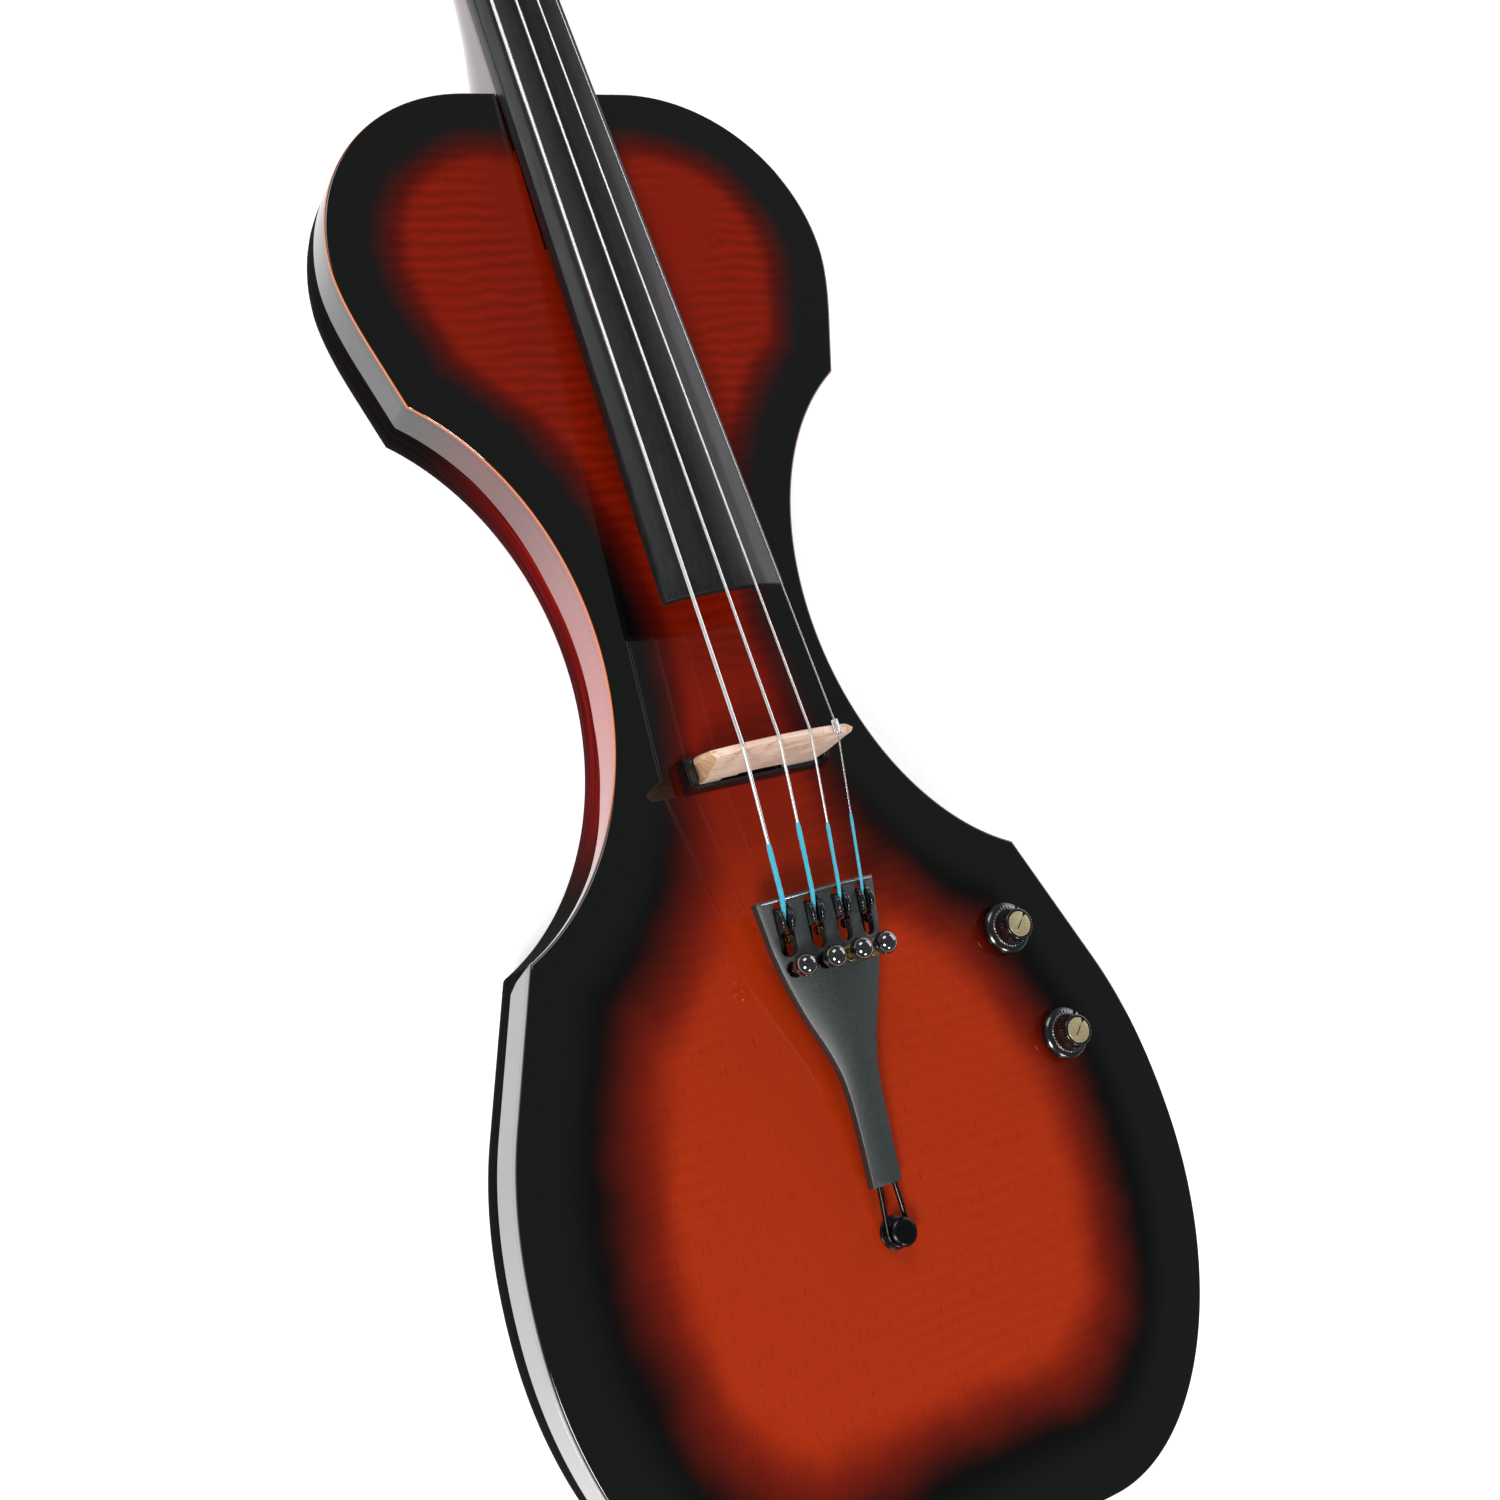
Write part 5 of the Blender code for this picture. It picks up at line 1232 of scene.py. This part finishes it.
def make_sleeve():
    tube = carve(sleeve(0.00145, -0.0024, 0.0036), sleeve(0.0008, -0.006, 0.007))
    piece("sleeve_tube", tube, "tube", ["string_sleeve"], bevel=0.15 * MM, smooth=50)


# ---------------------------------------------------------------- controls
def make_control(name):
    x, y = KNOBS[name]
    loose = name + "_knob"
    skirt = rounded([(0.003, -0.0085), (0.003, 0.0025), (0.0108, 0.0025), (0.0115, 0.003), (0.0116, 0.0048),
            (0.0114, 0.0058), (0.0104, 0.0066), (0.009, 0.0071), (0.0083, 0.0076), (0.0078, 0.0088),
            (0.0074, 0.0104), (0.0072, 0.0128), (0.0071, 0.0142), (0.0069, 0.0148), (0.0065, 0.015),
            (0.0061, 0.0149)], 0.25 * MM, 2)
    grip = [i for i, (r, z) in enumerate(skirt) if 0.0068 < z < 0.0136 and r > 0.0071]
    knob = carve(turned(skirt, (x, y, TOP), "Z", 288, (grip[0], grip[-1], 36, 0.0003)),
            bar(0.006, 0.0, 0.01, (x, y, TOP + 0.0143), "Z", 64))
    turn = Matrix.Translation((x, y, TOP)) @ Matrix.Rotation(math.radians(-45), 4, "Z")
    pointer = loft([[(-0.0011, 0.0068, z), (0.0011, 0.0068, z), (0.0008, 0.0108 + e, z),
            (-0.0008, 0.0108 + e, z)] for z, e in ((0.005, 0.0006), (0.0078, 0.0), (0.0084, -0.0006))])
    carve(knob, placed(pointer, turn), operation="UNION")
    piece(name + "_cap", knob, "gloss_black", [name + "_knob"], body=loose, smooth=40)
    dot = turned(rounded([(0.0001, 0.0), (0.00055, 0.0), (0.00055, 0.0003), (0.0001, 0.00035)], 0.1 * MM),
            (0, 0.0094, 0.0082), "Z", 20)
    piece(name + "_dot", placed(dot, turn), "dot", body=loose)
    disc = turned(rounded([(0.0002, 0.0), (0.0056, 0.0), (0.0056, 0.0007), (0.0002, 0.00075)], 0.2 * MM),
            (x, y, TOP + 0.0144), "Z", 64)
    notch = loft([[(-0.0012, 0.006, z), (0.0012, 0.006, z), (0.0, 0.0036, z)] for z in (0.014, 0.0158)])
    mark = loft([[(-0.00028, 0.0022, z), (0.00028, 0.0022, z), (0.00028, -0.003, z), (-0.00028, -0.003, z)]
            for z in (0.01485, 0.0158)])
    disc = carve(disc, placed(notch, turn), placed(mark, turn))
    piece(name + "_plate", disc, "gold", [name + "_disc"], body=loose, bevel=0.08 * MM)
    ink = loft([[(-0.00026, 0.0022, z), (0.00026, 0.0022, z), (0.00026, -0.003, z), (-0.00026, -0.003, z)]
            for z in (0.01486, 0.015)])
    piece(name + "_mark", placed(ink, turn), "gloss_black", body=loose)
    repaint("steel", name + "_pot")


# ---------------------------------------------------------------- endpin, jack and the back
def make_endpin():
    face = Vector((0, TAIL_Y, PORT_Z))
    collar = rounded([(0.0056, -0.015), (0.01, -0.015), (0.0114, -0.0142), (0.012, -0.013), (0.0118, -0.01),
            (0.0106, -0.0065), (0.0104, -0.0036), (0.0118, -0.003), (0.012, -0.0024), (0.012, -0.0003),
            (0.009, -0.0003), (0.0088, 0.028), (0.0056, 0.028)], 0.5 * MM)
    obj = carve(turned(collar, face, "Y", 64), bar(0.0053, -0.02, 0.04, face, "Y", 40),
            bar(0.0018, 0.0, 0.02, face + Vector((0, -0.0102, 0)), "Z", 24))
    piece("collar_ring", obj, "black_metal", ["endpin_collar"])
    rod = rounded([(0.0005, 0.0), (0.003, 0.0), (0.005, 0.004), (0.005, 0.4494), (0.0044, 0.45),
            (0.0005, 0.45)], 0.5 * MM)
    piece("rod_steel", turned(rod, face + Vector((0, -0.025, 0)), "Y", 40), "steel",
          ["endpin_rod"], body="endpin")
    tip = rounded([(0.0008, -0.02), (0.004, -0.02), (0.0066, -0.0188), (0.0078, -0.0165), (0.0084, -0.012),
            (0.0088, -0.006), (0.0083, -0.005), (0.0083, -0.0036), (0.0087, -0.0026), (0.0084, 0.002),
            (0.008, 0.008), (0.007, 0.009), (0.0056, 0.009)], 0.4 * MM)
    rubber = carve(turned(tip, face + Vector((0, -0.0252, 0)), "Y", 48),
            bar(0.0053, 0.0, 0.02, face + Vector((0, -0.0255, 0)), "Y", 32))
    piece("tip_rubber", rubber, "rubber", ["endpin_tip"], body="endpin")
    screw = turned(rounded([(0.0002, 0.0056), (0.0015, 0.0056), (0.0015, 0.0134), (0.0037, 0.0138),
            (0.004, 0.0142), (0.004, 0.0162), (0.0034, 0.0168), (0.0002, 0.0168)], 0.3 * MM),
            face + Vector((0, -0.0102, 0)), "Z", 36)
    rings = []
    for z, half in smooth_table(((0.0158, 0.004), (0.0175, 0.0068), (0.0195, 0.0088), (0.022, 0.0092),
            (0.0245, 0.0086), (0.0262, 0.0054), (0.0265, 0.0024)), 4):
        rings.append([(half * cos_deg(a), TAIL_Y - 0.0102
                + 0.0016 * sin_deg(a) * (1 - 0.3 * cos_deg(a) ** 2), PORT_Z + z)
                for a in range(0, 360, 12)])
    loft(rings, shape=screw)
    piece("thumb_screw", screw, "black_chrome", ["endpin_screw"], body="endpin_screw")

    centre = (JACK_X, TAIL_Y, PORT_Z)
    flange = rounded([(0.0034, -0.0025), (0.0058, -0.0025), (0.006, -0.0018), (0.0072, -0.0018),
            (0.0074, -0.0025), (0.011, -0.0022), (0.012, -0.0012), (0.012, -0.0003), (0.007, -0.0003),
            (0.007, 0.03), (0.0034, 0.03)], 0.25 * MM)
    socket = carve(turned(flange, centre, "Y", 64), bar(0.0033, -0.01, 0.028, centre, "Y", 32))
    piece("jack_flange", socket, "black_metal", ["output_jack"])


def make_back():
    low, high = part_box("control_cover")
    cover = bare_object("cover", block(low, high))
    for name in "ab":
        a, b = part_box("cover_screw_" + name)
        x, y = (a.x + b.x) / 2, (a.y + b.y) / 2
        carve(cover, bar(0.0026, -0.001, 0.0012, (x, y, 0), "Z", 32),
              bar(0.0016, 0.0, 0.01, (x, y, 0), "Z", 24))
        screw = carve(turned(rounded([(0.0002, 0.0004), (0.0014, 0.0003), (0.0022, 0.0006),
                (0.0022, 0.0009), (0.0012, 0.001), (0.0012, 0.0074), (0.0002, 0.008)], 0.1 * MM), (x, y, 0),
                "Z", 32), block((x - 0.0013, y - 0.00028, -0.001), (x + 0.0013, y + 0.00028, 0.0008)),
                block((x - 0.00028, y - 0.0013, -0.001), (x + 0.00028, y + 0.0013, 0.0008)))
        piece("cover_bolt_" + name, screw, "black_metal", ["cover_screw_" + name])
    piece("cover_plate", cover, "plastic", ["control_cover"], bevel=0.5 * MM, segments=3)
    low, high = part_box("battery_door")
    door = bare_object("door", block((low.x + 0.001, low.y, low.z), high))
    grooves = [block((between(low.x, high.x, s), low.y + 0.006, -0.01),
            (between(low.x, high.x, s) + 0.0007, high.y - 0.006, low.z + 0.0005))
            for s in (0.62, 0.66, 0.7, 0.74, 0.78)]
    grooves.append(bar(0.006, -0.001, 0.0009, (high.x + 0.0018, (low.y + high.y) / 2, 0), "Z", 40))
    carve(door, *grooves)
    pin = bar(0.0005, -0.0203, 0.0203, (HINGE_X, (low.y + high.y) / 2, HINGE_Z), "Y", 16)
    carve(door, pin, operation="UNION")
    piece("door_panel", door, "plastic", ["battery_door"], body="battery_door",
          bevel=0.3 * MM)
    repaint("plastic", "battery_box", "preamp_chip")
    repaint("skin", "battery")
    repaint("circuit", "preamp_board")
    repaint("pickup", "piezo_strip")
    repaint("cable", "pickup_lead", "jack_lead", "battery_lead")


# ---------------------------------------------------------------- stage
def make_stage():
    floor_look = Look("studio_floor", (0.9, 0.9, 0.9), 0.7)
    mottled = floor_look.noise((3, 3, 3), 2.0)
    floor_look.colour(floor_look.mix(mottled, (0.9, 0.9, 0.9), (0.92, 0.92, 0.92)))
    floor_look.shader.inputs["Emission Color"].default_value = (1, 1, 1, 1)
    floor_look.shader.inputs["Emission Strength"].default_value = FLOOR_GLOW
    shape = bmesh.new()
    bmesh.ops.create_grid(shape, x_segments=8, y_segments=8, size=6.0,
            matrix=Matrix.Translation((0, 0.2, -0.0006)))
    floor = bare_object("floor", shape)
    floor.data.materials.append(floor_look.material)

    world = bpy.data.worlds.new("studio")
    bpy.context.scene.world = world
    world.use_nodes = True
    world.node_tree.nodes["Background"].inputs["Color"].default_value = (0.96, 1.0, 1.0, 1)
    world.node_tree.nodes["Background"].inputs["Strength"].default_value = WORLD_LIGHT

    middle = Vector((0, 0.02, TOP))
    for name, (place, size, power, colour) in LAMPS.items():
        lamp = bpy.data.lights.new(name, "AREA")
        lamp.shape = "RECTANGLE"
        lamp.size, lamp.size_y = size
        lamp.energy, lamp.color = power, colour
        holder = bpy.data.objects.new(name, lamp)
        holder.location = place
        holder.rotation_mode = "QUATERNION"
        holder.rotation_quaternion = (middle - Vector(place)).to_track_quat("-Z", "Y")
        bpy.context.scene.collection.objects.link(holder)

    camera = bpy.data.cameras.new("camera")
    camera.lens = CAMERA_LENS
    camera.sensor_width = 36.0
    holder = bpy.data.objects.new("camera", camera)
    turn = Matrix(CAMERA_AXES).transposed().to_4x4()
    holder.matrix_world = Matrix.Translation(CAMERA_PLACE) @ turn
    bpy.context.scene.collection.objects.link(holder)
    bpy.context.scene.camera = holder
    bpy.context.scene.view_settings.view_transform = "Standard"


make_body()
make_fingerboard()
make_neck()
make_nut()
for peg in PEGS:
    make_peg(peg)
make_bridge()
make_tailpiece()
for string in NAMES:
    make_tuner(string)
    make_string(string)
make_tail_end()
make_sleeve()
for control in KNOBS:
    make_control(control)
make_endpin()
make_back()
make_stage()
